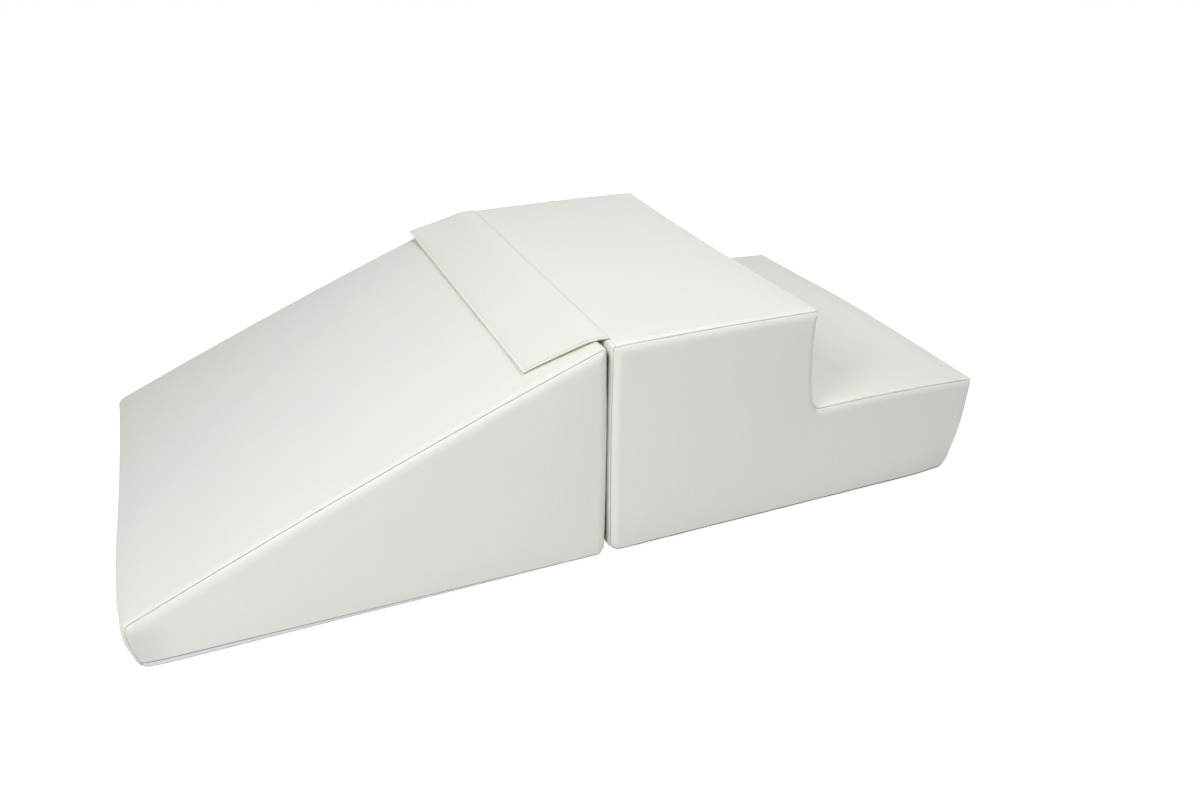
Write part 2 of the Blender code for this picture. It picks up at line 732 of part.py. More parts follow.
FLAP_HALF_STACK = FLAP_SKIN + FIT_GAP / 2
LOOP_LIFT = FIT_GAP
HOOK_LIFT = LOOP_LIFT + TAPE_THICKNESS + FIT_GAP
LINING_LIFT = HOOK_LIFT + TAPE_THICKNESS + FIT_GAP
FLAP_LIFT = LINING_LIFT + FLAP_HALF_STACK
FLAP_ROOT_NEAR = -BLOCK_WIDTH / 2 + FLAP_NEAR_INSET
FLAP_ROOT_FAR = BLOCK_WIDTH / 2 - FLAP_FAR_INSET


def hinge_place(step):
    """The flap's hinge line, just over the seam at the top edge of the step block."""
    insets = [0.0 for edge in step.edges]
    seam = step.corner_arc(Corner.FLAP_SEAM, insets)[0]
    return Vector((seam.x, 0, seam.y + FIT_GAP + FLAP_HALF_STACK))


def flap_curve(ramp, hinge, y_share):
    """Middle line of the flap from its hinge line to its free edge, at one share of its width."""
    root_y = FLAP_ROOT_NEAR + (FLAP_ROOT_FAR - FLAP_ROOT_NEAR) * y_share
    root = Vector((hinge.x, root_y, hinge.z))
    landing = ramp.point(FLAP_BEND_REACH, root_y, FLAP_LIFT)
    pull = Vector((-ramp.down.x, 0, -ramp.down.y)) * FLAP_BEND_PULL
    controls = (root, root - Vector((FLAP_ROOT_PULL, 0, 0)), landing + pull, landing)
    points = []
    for step in range(BEND_STEPS):
        t = step / BEND_STEPS
        weights = ((1 - t) ** 3, 3 * t * (1 - t) ** 2, 3 * t * t * (1 - t), t ** 3)
        point = Vector((0, 0, 0))
        for control, weight in zip(controls, weights):
            point += control * weight
        points.append(point)
    tape_end = TAPE_FROM_RIDGE + TAPE_WIDTH
    distances = [FLAP_BEND_REACH]
    distances += [TAPE_FROM_RIDGE + TAPE_WIDTH * share for share in TAPE_LENGTH_SHARES]
    for step in range(FLAP_TIP_STEPS):
        distances.append(tape_end + (FLAP_REACH - tape_end) * (step + 1) / FLAP_TIP_STEPS)
    curl_share = max(0.0, (y_share - CURL_START_SHARE) / (1 - CURL_START_SHARE))
    for distance in distances:
        reach_share = distance / FLAP_REACH
        sag_share = max(0.0, distance - tape_end) / (FLAP_REACH - tape_end)
        lift = FLAP_LIFT + FLAP_CURL * curl_share ** 2 * reach_share ** 2 - FLAP_TIP_SAG * sag_share
        points.append(ramp.point(distance, root_y, lift))
    for point in points:
        away = math.hypot(point.x - root.x, point.z - root.z) / (FLAP_REACH + root.x - ramp.top.x)
        point.y += FLAP_SKEW * away
    return points


def offset_line(points, distance):
    """A line of points moved square to itself in the XZ plane."""
    moved = []
    for index, point in enumerate(points):
        before = points[max(index - 1, 0)]
        after = points[min(index + 1, len(points) - 1)]
        along = Vector((after.x - before.x, after.z - before.z)).normalized()
        normal = outward(along)
        moved.append(point + Vector((normal.x, 0, normal.y)) * distance)
    return moved


def make_flap_layer(name, lines, low, high, parent, hinge):
    upper = [offset_line(line, high) for line in lines]
    lower = [offset_line(line, low) for line in lines]
    return add_piece(name, sheet_mesh(name, upper, lower), VINYL, parent, hinge)


def make_tape(name, ramp, lift, parent, origin=None):
    """A strip of hook or loop tape that lies along the top of the ramp."""
    near = FLAP_ROOT_NEAR + TAPE_END_INSET
    far = FLAP_ROOT_FAR - TAPE_END_INSET
    outer = []
    inner = []
    for y_share in TAPE_WIDTH_SHARES:
        y = near + (far - near) * y_share
        distances = [TAPE_FROM_RIDGE + TAPE_WIDTH * share for share in TAPE_LENGTH_SHARES]
        outer.append([ramp.point(distance, y, lift + TAPE_THICKNESS) for distance in distances])
        inner.append([ramp.point(distance, y, lift) for distance in distances])
    return add_piece(name, sheet_mesh(name, outer, inner), FLEECE, parent, origin)


def make_flap(ramp, step, parent):
    hinge = hinge_place(step)
    holder = add_empty("flap_hinge_line", hinge, parent)
    lines = [flap_curve(ramp, hinge, share) for share in FLAP_WIDTH_SHARES]
    make_flap_layer("flap_top_skin", lines, FIT_GAP / 2, FLAP_HALF_STACK, holder, hinge)
    make_flap_layer("flap_lining", lines, -FLAP_HALF_STACK, -FIT_GAP / 2, holder, hinge)
    make_tape("flap_hook_tape", ramp, HOOK_LIFT, holder, hinge)


def make_climber():
    clear_scene()
    slide = slide_block()
    step = step_block()
    slide_frame = add_empty("slide_block_frame", Vector((slide.edges[0].start[0], 0, 0)))
    step_frame = add_empty("step_block_frame", Vector((step.edges[0].start[0], 0, 0)))
    base_seam = (Corner.BASE_START, BASE_SEAM_STEP)
    far_base_seam = (Corner.BASE_END, BASE_END_STEP)
    flap_seam = (Corner.FLAP_SEAM, 0)
    make_covered_block("slide", slide, slide_frame)
    make_wrap("slide_ramp_panel", slide, far_base_seam, base_seam, slide_frame)
    make_covered_block("step", step, step_frame)
    make_wrap("step_top_panel", step, far_base_seam, flap_seam, step_frame)
    make_wrap("step_back_panel", step, flap_seam, base_seam, step_frame)
    ramp = Ramp(slide)
    make_tape("slide_loop_tape", ramp, LOOP_LIFT, slide_frame)
    make_flap(ramp, step, step_frame)


make_climber()
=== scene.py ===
"""Looks of the soft play climber: sewn covers, the flap and its tapes, the zips, the foam, the studio."""

import math
from collections import namedtuple

import bmesh
import bpy
import numpy as np
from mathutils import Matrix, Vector, kdtree, noise
from mathutils.geometry import area_tri, delaunay_2d_cdt


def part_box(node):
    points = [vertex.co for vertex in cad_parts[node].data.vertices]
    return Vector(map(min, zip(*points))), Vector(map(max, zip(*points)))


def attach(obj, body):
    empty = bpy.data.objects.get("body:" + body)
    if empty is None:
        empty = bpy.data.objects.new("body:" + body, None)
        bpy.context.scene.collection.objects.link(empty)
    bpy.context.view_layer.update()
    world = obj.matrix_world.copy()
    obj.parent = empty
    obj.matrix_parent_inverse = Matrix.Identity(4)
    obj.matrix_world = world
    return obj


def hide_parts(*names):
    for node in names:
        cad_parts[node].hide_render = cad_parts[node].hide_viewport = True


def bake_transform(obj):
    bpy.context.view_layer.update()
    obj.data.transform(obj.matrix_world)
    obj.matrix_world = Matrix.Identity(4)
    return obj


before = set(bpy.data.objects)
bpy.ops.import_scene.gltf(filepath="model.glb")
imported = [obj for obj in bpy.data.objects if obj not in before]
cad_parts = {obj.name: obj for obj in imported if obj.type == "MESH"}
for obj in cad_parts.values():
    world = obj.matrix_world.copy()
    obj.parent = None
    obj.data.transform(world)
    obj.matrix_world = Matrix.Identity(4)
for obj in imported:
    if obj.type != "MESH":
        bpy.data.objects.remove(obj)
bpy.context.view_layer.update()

# Sizes of the two blocks, to the seams
BLOCK_WIDTH = 0.600
BLOCK_GAP = 0.004
SLIDE_LENGTH = 0.580
SLIDE_HEIGHT = 0.301
TOE_HEIGHT = 0.061
TOE_LEAN = 0.008
STEP_LENGTH = 0.580
STEP_TOP_LENGTH = 0.293
STEP_TOP_DROP = 0.001
TREAD_HEIGHT = 0.154
FLAP_SEAM_DROP = 0.001
TREAD_FRONT_DROP = 0.006
RISER_LEAN = 0.010
FRONT_LEAN = 0.012

# Roundness of the foam, in the side view and across the long edges
TOE_RADIUS = 0.010
RIDGE_RADIUS = 0.008
STEP_CORNER_RADIUS = 0.006
INNER_CORNER_RADIUS = 0.012
BASE_CORNER_RADIUS = 0.014
FRONT_FOOT_RADIUS = 0.024
LEAST_RADIUS = 0.0008
EDGE_SOFTNESS = 0.015
BASE_SOFTNESS = 0.005
THIN_WALL_SHARE = 0.4

# How far each face swells past the line between its seams: at the side seams, and in the middle
RAMP_CROWN_AT_SEAM = 0.005
RAMP_CROWN = 0.008
TOE_CROWN = 0.002
BACK_CROWN = 0.0015
STEP_TOP_CROWN_AT_SEAM = 0.0015
STEP_TOP_CROWN = 0.0035
RISER_HOLLOW_AT_SEAM = 0.0035
RISER_HOLLOW = 0.0015
TREAD_CROWN_AT_SEAM = 0.0025
TREAD_CROWN = 0.005
FRONT_CROWN = 0.002
SIDE_CROWN = 0.003
SIDE_CROWN_REACH = 0.110

# Sewn covers
VINYL_THICKNESS = 0.0009
BASE_THICKNESS = 0.0011
FLOOR_GAP = 0.0001
SEAM_HALF_GAP = 0.00012
LIP_RADIUS = 0.0014
ALLOWANCE_DEPTH = 0.0032
LIP_DISTANCES = (0.0, 0.00012, 0.0004, 0.0009, 0.0016, 0.0026)
CORE_DEPTH = 0.0040
PUCKER_HEIGHT = 0.00045
PUCKER_PITCH = 0.018
PUCKER_REACH = 0.012
SLACK_HEIGHT = 0.0006
SLACK_PITCH = (0.070, 0.028)
SLACK_SHARES = (0.6, 0.4)
RIPPLE_ROW = 7.3

# Where the side seams lie round an edge, from 0 at the side: at the edge's start and at its end
RIGHT_ANGLE = math.radians(90)
SEAM_ANGLE = math.radians(55)
SIDE_SEAM = (SEAM_ANGLE, SEAM_ANGLE)
SLIDE_BASE_SEAM = (math.radians(-24), math.radians(-1))
STEP_BASE_SEAM = (math.radians(-2), math.radians(-4))
TOE_SEAM = (math.radians(33), math.radians(33))
ABOVE_BASE_SEAM = math.radians(4)

# Settling of the covers over the foam
DRAPE_STEP = 0.018
DRAPE_BLUR = 0.012
DRAPE_FRAMES = 20
DRAPE_CAP = 0.0008
DRAPE_FADE = 0.050
DRAPE_PRESSURE = 4.0
DRAPE_CORNER_STEPS = 3
DRAPE_NEIGHBOURS = 8
TOUCHING_REACH = 0.030
SHELL_SIDE_ANGLES = (0.0, math.radians(25))

# Flap and its hook-and-loop tape
FLAP_REACH = 0.090
FLAP_NEAR_INSET = 0.027
FLAP_FAR_INSET = 0.017
FLAP_SKEW = 0.014
FLAP_SKIN = 0.0009
FIT_GAP = 0.0003
FLAP_CURL = 0.007
FLAP_BEND_REACH = 0.016
FLAP_ROOT_PULL = 0.012
FLAP_BEND_PULL = 0.014
FLAP_TIP_SAG = 0.0013
FLAP_WAVE = 0.0005
FLAP_WAVE_PITCH = 0.070
FLAP_WAVE_ROW = 3.1
FLAP_SHADOW_FADE = 0.007
CURL_START_SHARE = 0.8
FLAP_SEAM_PLACES = (0.0, 0.25, 0.55, 0.85, 1.0)
FLAP_SEAM_SPREAD = (0.6, 0.22, 0.14, 0.12, 0.25)
FLAP_RIM_THINNEST = 0.05
BEND_START_SHARES = (0.0, 0.012, 0.035, 0.07)
BEND_STEPS = 9
TAPE_THICKNESS = 0.0009
TAPE_SELVEDGE = 0.0026
TAPE_SELVEDGE_THICKNESS = 0.0004
TAPE_RIM_DISTANCES = (0.0, 0.0002, TAPE_SELVEDGE, TAPE_SELVEDGE + 0.0004, TAPE_SELVEDGE + 0.001)
TAPE_END_DISTANCES = (0.0, 0.0002, 0.003)
PILE_RISE = 0.0006
TAPE_FROM_RIDGE = 0.020
TAPE_WIDTH = 0.050
TAPE_END_INSET = 0.022
TOPSTITCH_INSET = 0.0042
TOPSTITCH_START = 6
TOPSTITCH_END_CREASE = 0.0001
TOPSTITCH_END_SPREAD = 0.5
TOPSTITCH_TIP_CREASE = 0.0008
TAPE_STITCH_INSET = 0.0014
GROOVE_DEPTH = 0.0004
GROOVE_HALF_WIDTH = 0.0009
STITCH_LENGTH = 0.0030
STITCH_PITCH = 0.0042
FIRST_STITCH = 0.3
THREAD_RADIUS = 0.00024

# One stitch: shares of its length, with the thread's height over the cover in its own radii
STITCH_SHAPE = ((0.0, -1.3), (0.12, 0.3), (0.5, 0.8), (0.88, 0.3), (1.0, -1.3))
STITCH_AHEAD = STITCH_LENGTH / 9

# Zip under each block
ZIP_END_MARGIN = 0.045
ZIP_FADE = 0.012
STOP_LENGTH = 0.003
WINDOW_MARGIN = 0.001
CHANNEL_HALF_WIDTH = 0.018
HEM_START = 0.009
HEM_EDGE = 0.0056
HEM_LIFT = 0.004
CLOSED_HEM_START = 0.006
HEM_STITCH_INSET = 0.0020
SLOPE_SHARES = (0.25, 0.5, 0.75, 1.0)
HEM_SHARES = (0.3, 0.5, 0.7, 0.9, 1.0)
RECESS_HALF_WIDTH = 0.022
RECESS_WALL = 0.001
RECESS_TOP = 0.0085
COIL_PITCH = 0.0016
COIL_WIRE = 0.00036
COIL_POINTS = 8
ZIP_TAPE_SHARES = (0.0, 0.02, 0.1, 0.3, 0.5, 0.7, 0.9, 0.98, 1.0)
ZIP_TAPE_RIM_SHARE = 0.7
ZIP_TAPE_WAVE = 0.0001
ZIP_TAPE_WAVES = 60
STOP_EDGE = 0.0003
SLIDER_EDGE = 0.0002

# Fineness of the meshes
FACE_STEP = 0.006
CORNER_STEPS = 8
BASE_CORNER_STEPS = 10
BASE_SEAM_STEP = 6
ROUNDING_ANGLES = tuple(math.radians(angle) for angle in (68, 75, 82, 90))
SIDE_ANGLES = tuple(math.radians(angle) for angle in (44, 36, 28, 20, 12, 5, 0))
CORE_ANGLES = tuple(math.radians(angle) for angle in (0, 30, 60))
CORE_MIDWAY = 0.16
LATTICE_ROOM = 0.6
SLIVER_SHARE = 0.001
SMOOTHING_TURNS = 150
MERGE_DISTANCE = 1e-7
LEAST_WEIGHT = 1e-9
LEAST_LENGTH = 1e-12
THREAD_SIDES = 6
FLAP_RIM_DISTANCES = (0.0, 0.00015, 0.0005, 0.0010, 0.0026, 0.0036, 0.0042, 0.0048, 0.0060)

HALF_SIDE = BLOCK_WIDTH / 2 - SIDE_CROWN
FLAT_HALF_WIDTH = HALF_SIDE - EDGE_SOFTNESS
STEP_HEIGHT = SLIDE_HEIGHT - STEP_TOP_DROP

# Places along X, from the middle of the climber
JOINT_X = (SLIDE_LENGTH - STEP_LENGTH) / 2
SLIDE_BACK = JOINT_X - BLOCK_GAP / 2
TOE_X = SLIDE_BACK - SLIDE_LENGTH
STEP_BACK = JOINT_X + BLOCK_GAP / 2
RISER_TOP_X = STEP_BACK + STEP_TOP_LENGTH
FRONT_X = STEP_BACK + STEP_LENGTH

# Angles of a wrapped cover's rows round an edge, from its seam to the face
WRAP_ANGLES = [SEAM_ANGLE + (SEAM_HALF_GAP + distance) / EDGE_SOFTNESS for distance in LIP_DISTANCES]
WRAP_ANGLES += ROUNDING_ANGLES

# Corners of the outlines, anticlockwise from the start of the base
BASE_START = 0
BASE_END = 1
RIDGE = 2
TOE_TOP = 3
FLAP_SEAM = 5
BASE_SEAMS = ((BASE_START, BASE_SEAM_STEP), (BASE_END, BASE_CORNER_STEPS - BASE_SEAM_STEP))

# Colours, as linear light
IVORY = (0.84, 0.85, 0.80)
IVORY_COOL = (0.82, 0.84, 0.80)
IVORY_WARM = (0.85, 0.84, 0.78)
SEAM_OLIVE = (0.56, 0.56, 0.40)
SEAM_SHADE_GREY = (0.32, 0.26, 0.24)
CONTACT_SHADE_GREY = (0.20, 0.185, 0.175)
TOE_SHADE = (0.62, 0.62, 0.57)
GAP_SHADE_OLIVE = (0.32, 0.30, 0.10)
FLAP_SHADOW_BEIGE = (0.84, 0.81, 0.67)
BASE_GREY = (0.83, 0.84, 0.865)
BASE_DOT = (0.88, 0.89, 0.91)
FOAM_CREAM = (0.80, 0.75, 0.58)
ZIP_WHITE = (0.72, 0.72, 0.69)
NYLON_WHITE = (0.78, 0.78, 0.75)
PILE_WHITE = (0.68, 0.68, 0.63)
THREAD_WHITE = (0.80, 0.80, 0.72)
FLOOR_WHITE = (0.88, 0.88, 0.88)

# Where the painted shade on the covers fades in and out: each fade's start and end, in metres
SEAM_CREASE = (0.0, 0.0010)
JOINT_CREASE = (0.006, 0.020)
JOINT_CREASE_SIDE = (0.268, 0.280)
JOINT_WALL = (0.004, 0.012)
JOINT_WALL_SIDE = (0.281, 0.287)
UNDER_FLAP_TOP = (0.278, 0.290)
UNDER_FLAP_SIDE = (0.270, 0.279)
TOE_SHADE_REACH = (0.012, 0.060)
TOE_SHADE_TOP = (0.040, 0.075)
TOE_SHADE_SIDE = (0.286, 0.292)
LOW_SEAM_TOP = (0.013, 0.030)
BASE_CREASE = (0.0004, 0.0012)
CONTACT_SHADE_BOTTOM = (0.0004, 0.0012)
CONTACT_SHADE_TOP = (0.0042, 0.0054)
CONTACT_SHADE_SIDE = (0.270, 0.282)
CONTACT_SHADE_ALONG = (-0.05, 0.10)

Edge = namedtuple("Edge", "start radius steps softness seam_crown crown seams", defaults=(SIDE_SEAM,))
Pinch = namedtuple("Pinch", "x reach depth")
Swell = namedtuple("Swell", "x y low reach width push lift")

# How far the seams draw in the low corners at a block's outer end
PINCH_HEIGHT = 0.085
PINCH_FROM = 0.200
PINCH_FADE = 0.080
TOE_PINCH = Pinch(TOE_X, 0.045, 0.0030)
FRONT_PINCH = Pinch(FRONT_X, 0.090, 0.0065)

# Where the foam pushes an edge out, or the cover pulls it in
SWELL_FADE = 0.045
TOE_SWELL = Swell(TOE_X, -0.16, 0, 0.080, 0.150, -0.0046, 0)
FRONT_SWELL = Swell(FRONT_X, 0.0, 0, 0.080, 0.220, 0.0064, 0.0030)
TOP_EDGE_SWELL = Swell(RISER_TOP_X, 0.02, 0.230, 0.070, 0.180, -0.0016, -0.0018)


class Wire:
    """A number that a node gives out. Arithmetic on it adds Math nodes."""

    def __init__(self, nodes, socket):
        self.nodes = nodes
        self.socket = socket

    def worked(self, operation, *terms):
        node = self.nodes.add("ShaderNodeMath", {"operation": operation}, dict(enumerate(terms)))
        return Wire(self.nodes, node.outputs[0])

    def __add__(self, other):
        return self.worked("ADD", self, other)

    def __radd__(self, other):
        return self.worked("ADD", other, self)

    def __sub__(self, other):
        return self.worked("SUBTRACT", self, other)

    def __rsub__(self, other):
        return self.worked("SUBTRACT", other, self)

    def __mul__(self, other):
        return self.worked("MULTIPLY", self, other)

    def __rmul__(self, other):
        return self.worked("MULTIPLY", other, self)

    def __truediv__(self, other):
        return self.worked("DIVIDE", self, other)

    def larger(self, other):
        return self.worked("MAXIMUM", self, other)

    def size(self):
        return self.worked("ABSOLUTE", self)

    def between(self, low, high):
        """0 at low, 1 at high, and smooth between them."""
        settings = {"interpolation_type": "SMOOTHSTEP"}
        sockets = {"Value": self, "From Min": low, "From Max": high}
        return Wire(self.nodes, self.nodes.add("ShaderNodeMapRange", settings, sockets).outputs[0])


class Nodes:
    """The nodes of one finish."""

    def __init__(self, tree):
        self.tree = tree
        self.tree.nodes.clear()

    def add(self, kind, settings, sockets):
        node = self.tree.nodes.new(kind)
        for key, value in settings.items():
            setattr(node, key, value)
        for key, value in sockets.items():
            if isinstance(value, Wire):
                value = value.socket
            if isinstance(value, bpy.types.NodeSocket):
                self.tree.links.new(value, node.inputs[key])
            else:
                node.inputs[key].default_value = value
        return node

    def place(self, stretch=(1.0, 1.0, 1.0)):
        """Where a point lies on the climber, in metres."""
        spot = self.add("ShaderNodeTexCoord", {}, {}).outputs["Object"]
        return self.add("ShaderNodeMapping", {}, {"Vector": spot, "Scale": stretch}).outputs[0]

    def axes(self):
        """The three coordinates of a point on the climber, in metres."""
        spot = self.add("ShaderNodeTexCoord", {}, {}).outputs["Object"]
        parts = self.add("ShaderNodeSeparateXYZ", {}, {"Vector": spot})
        return [Wire(self, parts.outputs[axis]) for axis in "XYZ"]

    def cloud(self, scale, detail=2.0, roughness=0.5, distortion=0.0, stretch=(1.0, 1.0, 1.0)):
        sockets = {"Vector": self.place(stretch), "Scale": scale, "Detail": detail}
        sockets.update({"Roughness": roughness, "Distortion": distortion})
        return Wire(self, self.add("ShaderNodeTexNoise", {}, sockets).outputs[0])

    def cells(self, scale, randomness=1.0):
        sockets = {"Vector": self.place(), "Scale": scale, "Randomness": randomness}
        return Wire(self, self.add("ShaderNodeTexVoronoi", {}, sockets).outputs["Distance"])

    def ribs(self, scale, direction):
        settings = {"wave_type": "BANDS", "bands_direction": direction}
        node = self.add("ShaderNodeTexWave", settings, {"Vector": self.place(), "Scale": scale})
        return Wire(self, node.outputs["Fac"])

    def marked(self, name):
        """A value that the mesh keeps on its points."""
        return Wire(self, self.add("ShaderNodeAttribute", {"attribute_name": name}, {}).outputs["Fac"])

    def mixed(self, share, first, second):
        """A colour between two colours."""
        sockets = {0: share}
        for key, color in ((6, first), (7, second)):
            sockets[key] = (*color, 1.0) if isinstance(color, tuple) else color
        return self.add("ShaderNodeMix", {"data_type": "RGBA"}, sockets).outputs[2]

    def bumps(self, *layers):
        """A normal from layers of (height, distance, strength), the broadest first."""
        normal = None
        for height, distance, strength in layers:
            sockets = {"Height": height, "Distance": distance, "Strength": strength}
            if normal is not None:
                sockets["Normal"] = normal
            normal = self.add("ShaderNodeBump", {}, sockets).outputs[0]
        return normal


def new_finish(name):
    material = bpy.data.materials.new(name)
    material.use_nodes = True
    return material, Nodes(material.node_tree)


def end_finish(nodes, sockets):
    shader = nodes.add("ShaderNodeBsdfPrincipled", {}, sockets)
    nodes.add("ShaderNodeOutputMaterial", {}, {"Surface": shader.outputs[0]})


def vinyl_finish():
    """Coated vinyl: pebble grain, satin sheen, faint shifts of tone, a duller crease at each seam with
    painted shade in it, and painted shade under the flap, in the gap at the joint and near the toe's low
    corners.
    """
    material, nodes = new_finish("ivory_vinyl")
    tone = nodes.cloud(5.0, detail=3.0).between(0.35, 0.65)
    patch = nodes.cloud(1.7).between(0.40, 0.62)
    color = nodes.mixed(tone * 0.6, IVORY, IVORY_COOL)
    color = nodes.mixed(patch * 0.5, color, IVORY_WARM)
    # Painted shadow of the flap: beige on the ramp under and just beyond the flap, and on the flap's
    # lining.
    color = nodes.mixed(nodes.marked("flap_shadow") * 0.55, color, FLAP_SHADOW_BEIGE)
    x, y, z = nodes.axes()
    from_joint = (x - JOINT_X).size()
    from_side = y.size()
    # Painted shade in the gap between the blocks: olive on the joint walls near their side edges, below the
    # flap.
    in_joint = (1 - from_joint.between(*JOINT_WALL)) * (1 - from_side.between(*JOINT_WALL_SIDE))
    rim = in_joint * (1 - z.between(*UNDER_FLAP_TOP)) * from_side.between(*UNDER_FLAP_SIDE)
    color = nodes.mixed(rim * 0.9, color, GAP_SHADE_OLIVE)
    at_toe = (1 - (x - TOE_X).between(*TOE_SHADE_REACH)) * (1 - z.between(*TOE_SHADE_TOP))
    color = nodes.mixed(at_toe * from_side.between(*TOE_SHADE_SIDE) * 0.5, color, TOE_SHADE)
    # Painted shade in each seam's crease: olive, a darker grey on the seams near the floor, and less at the
    # joint.
    crease = 1 - nodes.marked("seam").between(*SEAM_CREASE)
    at_joint = (1 - from_joint.between(*JOINT_CREASE)) * from_side.between(*JOINT_CREASE_SIDE)
    crease = crease * (1 - at_joint * 0.65)
    low_down = 1 - z.between(*LOW_SEAM_TOP)
    seam_shade_tone = nodes.mixed(low_down, SEAM_OLIVE, SEAM_SHADE_GREY)
    color = nodes.mixed(crease * (0.40 + 0.40 * low_down), color, seam_shade_tone)
    pebble = nodes.cells(760.0) * 0.7 + nodes.cloud(1500.0, detail=1.0) * 0.3
    grain = nodes.cells(310.0) * 0.6 + nodes.cloud(240.0, detail=3.0) * 0.4
    swell = nodes.cloud(40.0)
    streaks = nodes.cloud(28.0, detail=1.0, stretch=(1.0, 1.0, 0.16))
    rough = 0.42 + 0.08 * nodes.cloud(60.0, detail=3.0) + 0.12 * crease
    broad = [(swell, 0.0010, 0.25), (streaks, 0.0010, 0.2)]
    normal = nodes.bumps(*broad, (grain, 0.0003, 0.4), (pebble, 0.0001, 0.6))
    sockets = {"Base Color": color, "Roughness": rough, "Normal": normal, "Specular IOR Level": 0.42}
    end_finish(nodes, sockets)
    return material


def grip_finish():
    """Base fabric: a tight plain weave with rows of small grip dots, painted shade in its seam's crease and
    a painted contact shadow along the bottom edge.
    """
    material, nodes = new_finish("grip_base_cloth")
    weave = nodes.ribs(420.0, "X") * nodes.ribs(420.0, "Y")
    dots = 1 - nodes.cells(220.0, randomness=0.0).between(0.25, 0.42)
    color = nodes.mixed(dots * 0.7, BASE_GREY, BASE_DOT)
    soil = nodes.cloud(7.0, detail=4.0).between(0.45, 0.75)
    color = nodes.mixed(soil * 0.15, color, FOAM_CREAM)
    # Painted shade in the base seam's crease.
    crease = 1 - nodes.marked("seam").between(*BASE_CREASE)
    color = nodes.mixed(crease * 0.75, color, SEAM_SHADE_GREY)
    # Painted contact shadow on a band just above the floor, darker towards the step block.
    x, y, z = nodes.axes()
    contact_shade = z.between(*CONTACT_SHADE_BOTTOM) * (1 - z.between(*CONTACT_SHADE_TOP)) * y.size().between(*CONTACT_SHADE_SIDE)
    color = nodes.mixed(contact_shade * (0.40 + 0.55 * x.between(*CONTACT_SHADE_ALONG)), color, CONTACT_SHADE_GREY)
    normal = nodes.bumps((weave, 0.00012, 0.6), (dots, 0.0003, 0.6))
    end_finish(nodes, {"Base Color": color, "Roughness": 0.85 - 0.25 * dots, "Normal": normal})
    return material


def foam_finish():
    """Cut foam: open cells, with a faint yellowing."""
    material, nodes = new_finish("cut_foam")
    cells = nodes.cells(600.0)
    yellowing = nodes.cloud(9.0) * 0.4 + cells * 0.3
    color = nodes.mixed(yellowing, FOAM_CREAM, PILE_WHITE)
    rough = 0.92 + 0.05 * cells
    normal = nodes.bumps((cells, 0.0006, 0.8))
    end_finish(nodes, {"Base Color": color, "Roughness": rough, "Normal": normal})
    return material


def zip_tape_finish():
    """Woven zip tape: herringbone ribs, with a shadow between them."""
    material, nodes = new_finish("zip_tape_weave")
    ribs = nodes.ribs(500.0, "X")
    weft = nodes.ribs(850.0, "Y")
    color = nodes.mixed(ribs * 0.25, ZIP_WHITE, BASE_GREY)
    rough = 0.8 + 0.1 * weft
    normal = nodes.bumps((ribs * weft, 0.0002, 0.7))
    end_finish(nodes, {"Base Color": color, "Roughness": rough, "Normal": normal})
    return material


def nylon_finish():
    """Moulded nylon, with the faint haze that handling leaves."""
    material, nodes = new_finish("zip_nylon")
    haze = nodes.cloud(90.0, detail=3.0)
    color = nodes.mixed(haze * 0.3, NYLON_WHITE, ZIP_WHITE)
    rough = 0.3 + 0.15 * haze
    normal = nodes.bumps((haze, 0.0001, 0.3))
    end_finish(nodes, {"Base Color": color, "Roughness": rough, "Normal": normal})
    return material


def pile_finish(name, scale):
    """Hook or loop pile: short tangled loops between flat woven edges."""
    material, nodes = new_finish(name)
    tangle = nodes.cloud(scale, detail=3.0, roughness=0.7, distortion=1.5)
    pile = nodes.marked("pile")
    color = nodes.mixed(tangle.between(0.3, 0.7) * pile, PILE_WHITE, IVORY)
    weave = nodes.ribs(600.0, "Y") * (1 - pile)
    normal = nodes.bumps((weave, 0.0002, 0.6), (tangle * pile, 0.0008, 0.9))
    end_finish(nodes, {"Base Color": color, "Roughness": 0.85 + 0.1 * tangle, "Normal": normal})
    return material


def thread_finish():
    """Twisted sewing thread."""
    material, nodes = new_finish("sewing_thread")
    twist = nodes.cloud(2500.0, detail=1.0, stretch=(1.0, 1.0, 0.4))
    color = nodes.mixed(twist * 0.4, THREAD_WHITE, SEAM_OLIVE)
    rough = 0.55 + 0.1 * twist
    normal = nodes.bumps((twist, 0.0001, 0.6))
    end_finish(nodes, {"Base Color": color, "Roughness": rough, "Normal": normal})
    return material


VINYL = vinyl_finish()
GRIP = grip_finish()
FOAM = foam_finish()
ZIP_WEAVE = zip_tape_finish()
NYLON = nylon_finish()
LOOPS = pile_finish("loop_pile", 900.0)
HOOKS = pile_finish("hook_pile", 1400.0)
THREAD = thread_finish()


def limited(softness, wall):
    """A softness that a thin wall still has room for."""
    return min(softness, wall * THIN_WALL_SHARE)


def turned(vector, angle):
    cosine = math.cos(angle)
    sine = math.sin(angle)
    return Vector((vector.x * cosine - vector.y * sine, vector.x * sine + vector.y * cosine))


def outward(direction):
    """The outward normal of an edge of an outline that runs anticlockwise."""
    return Vector((direction.y, -direction.x))


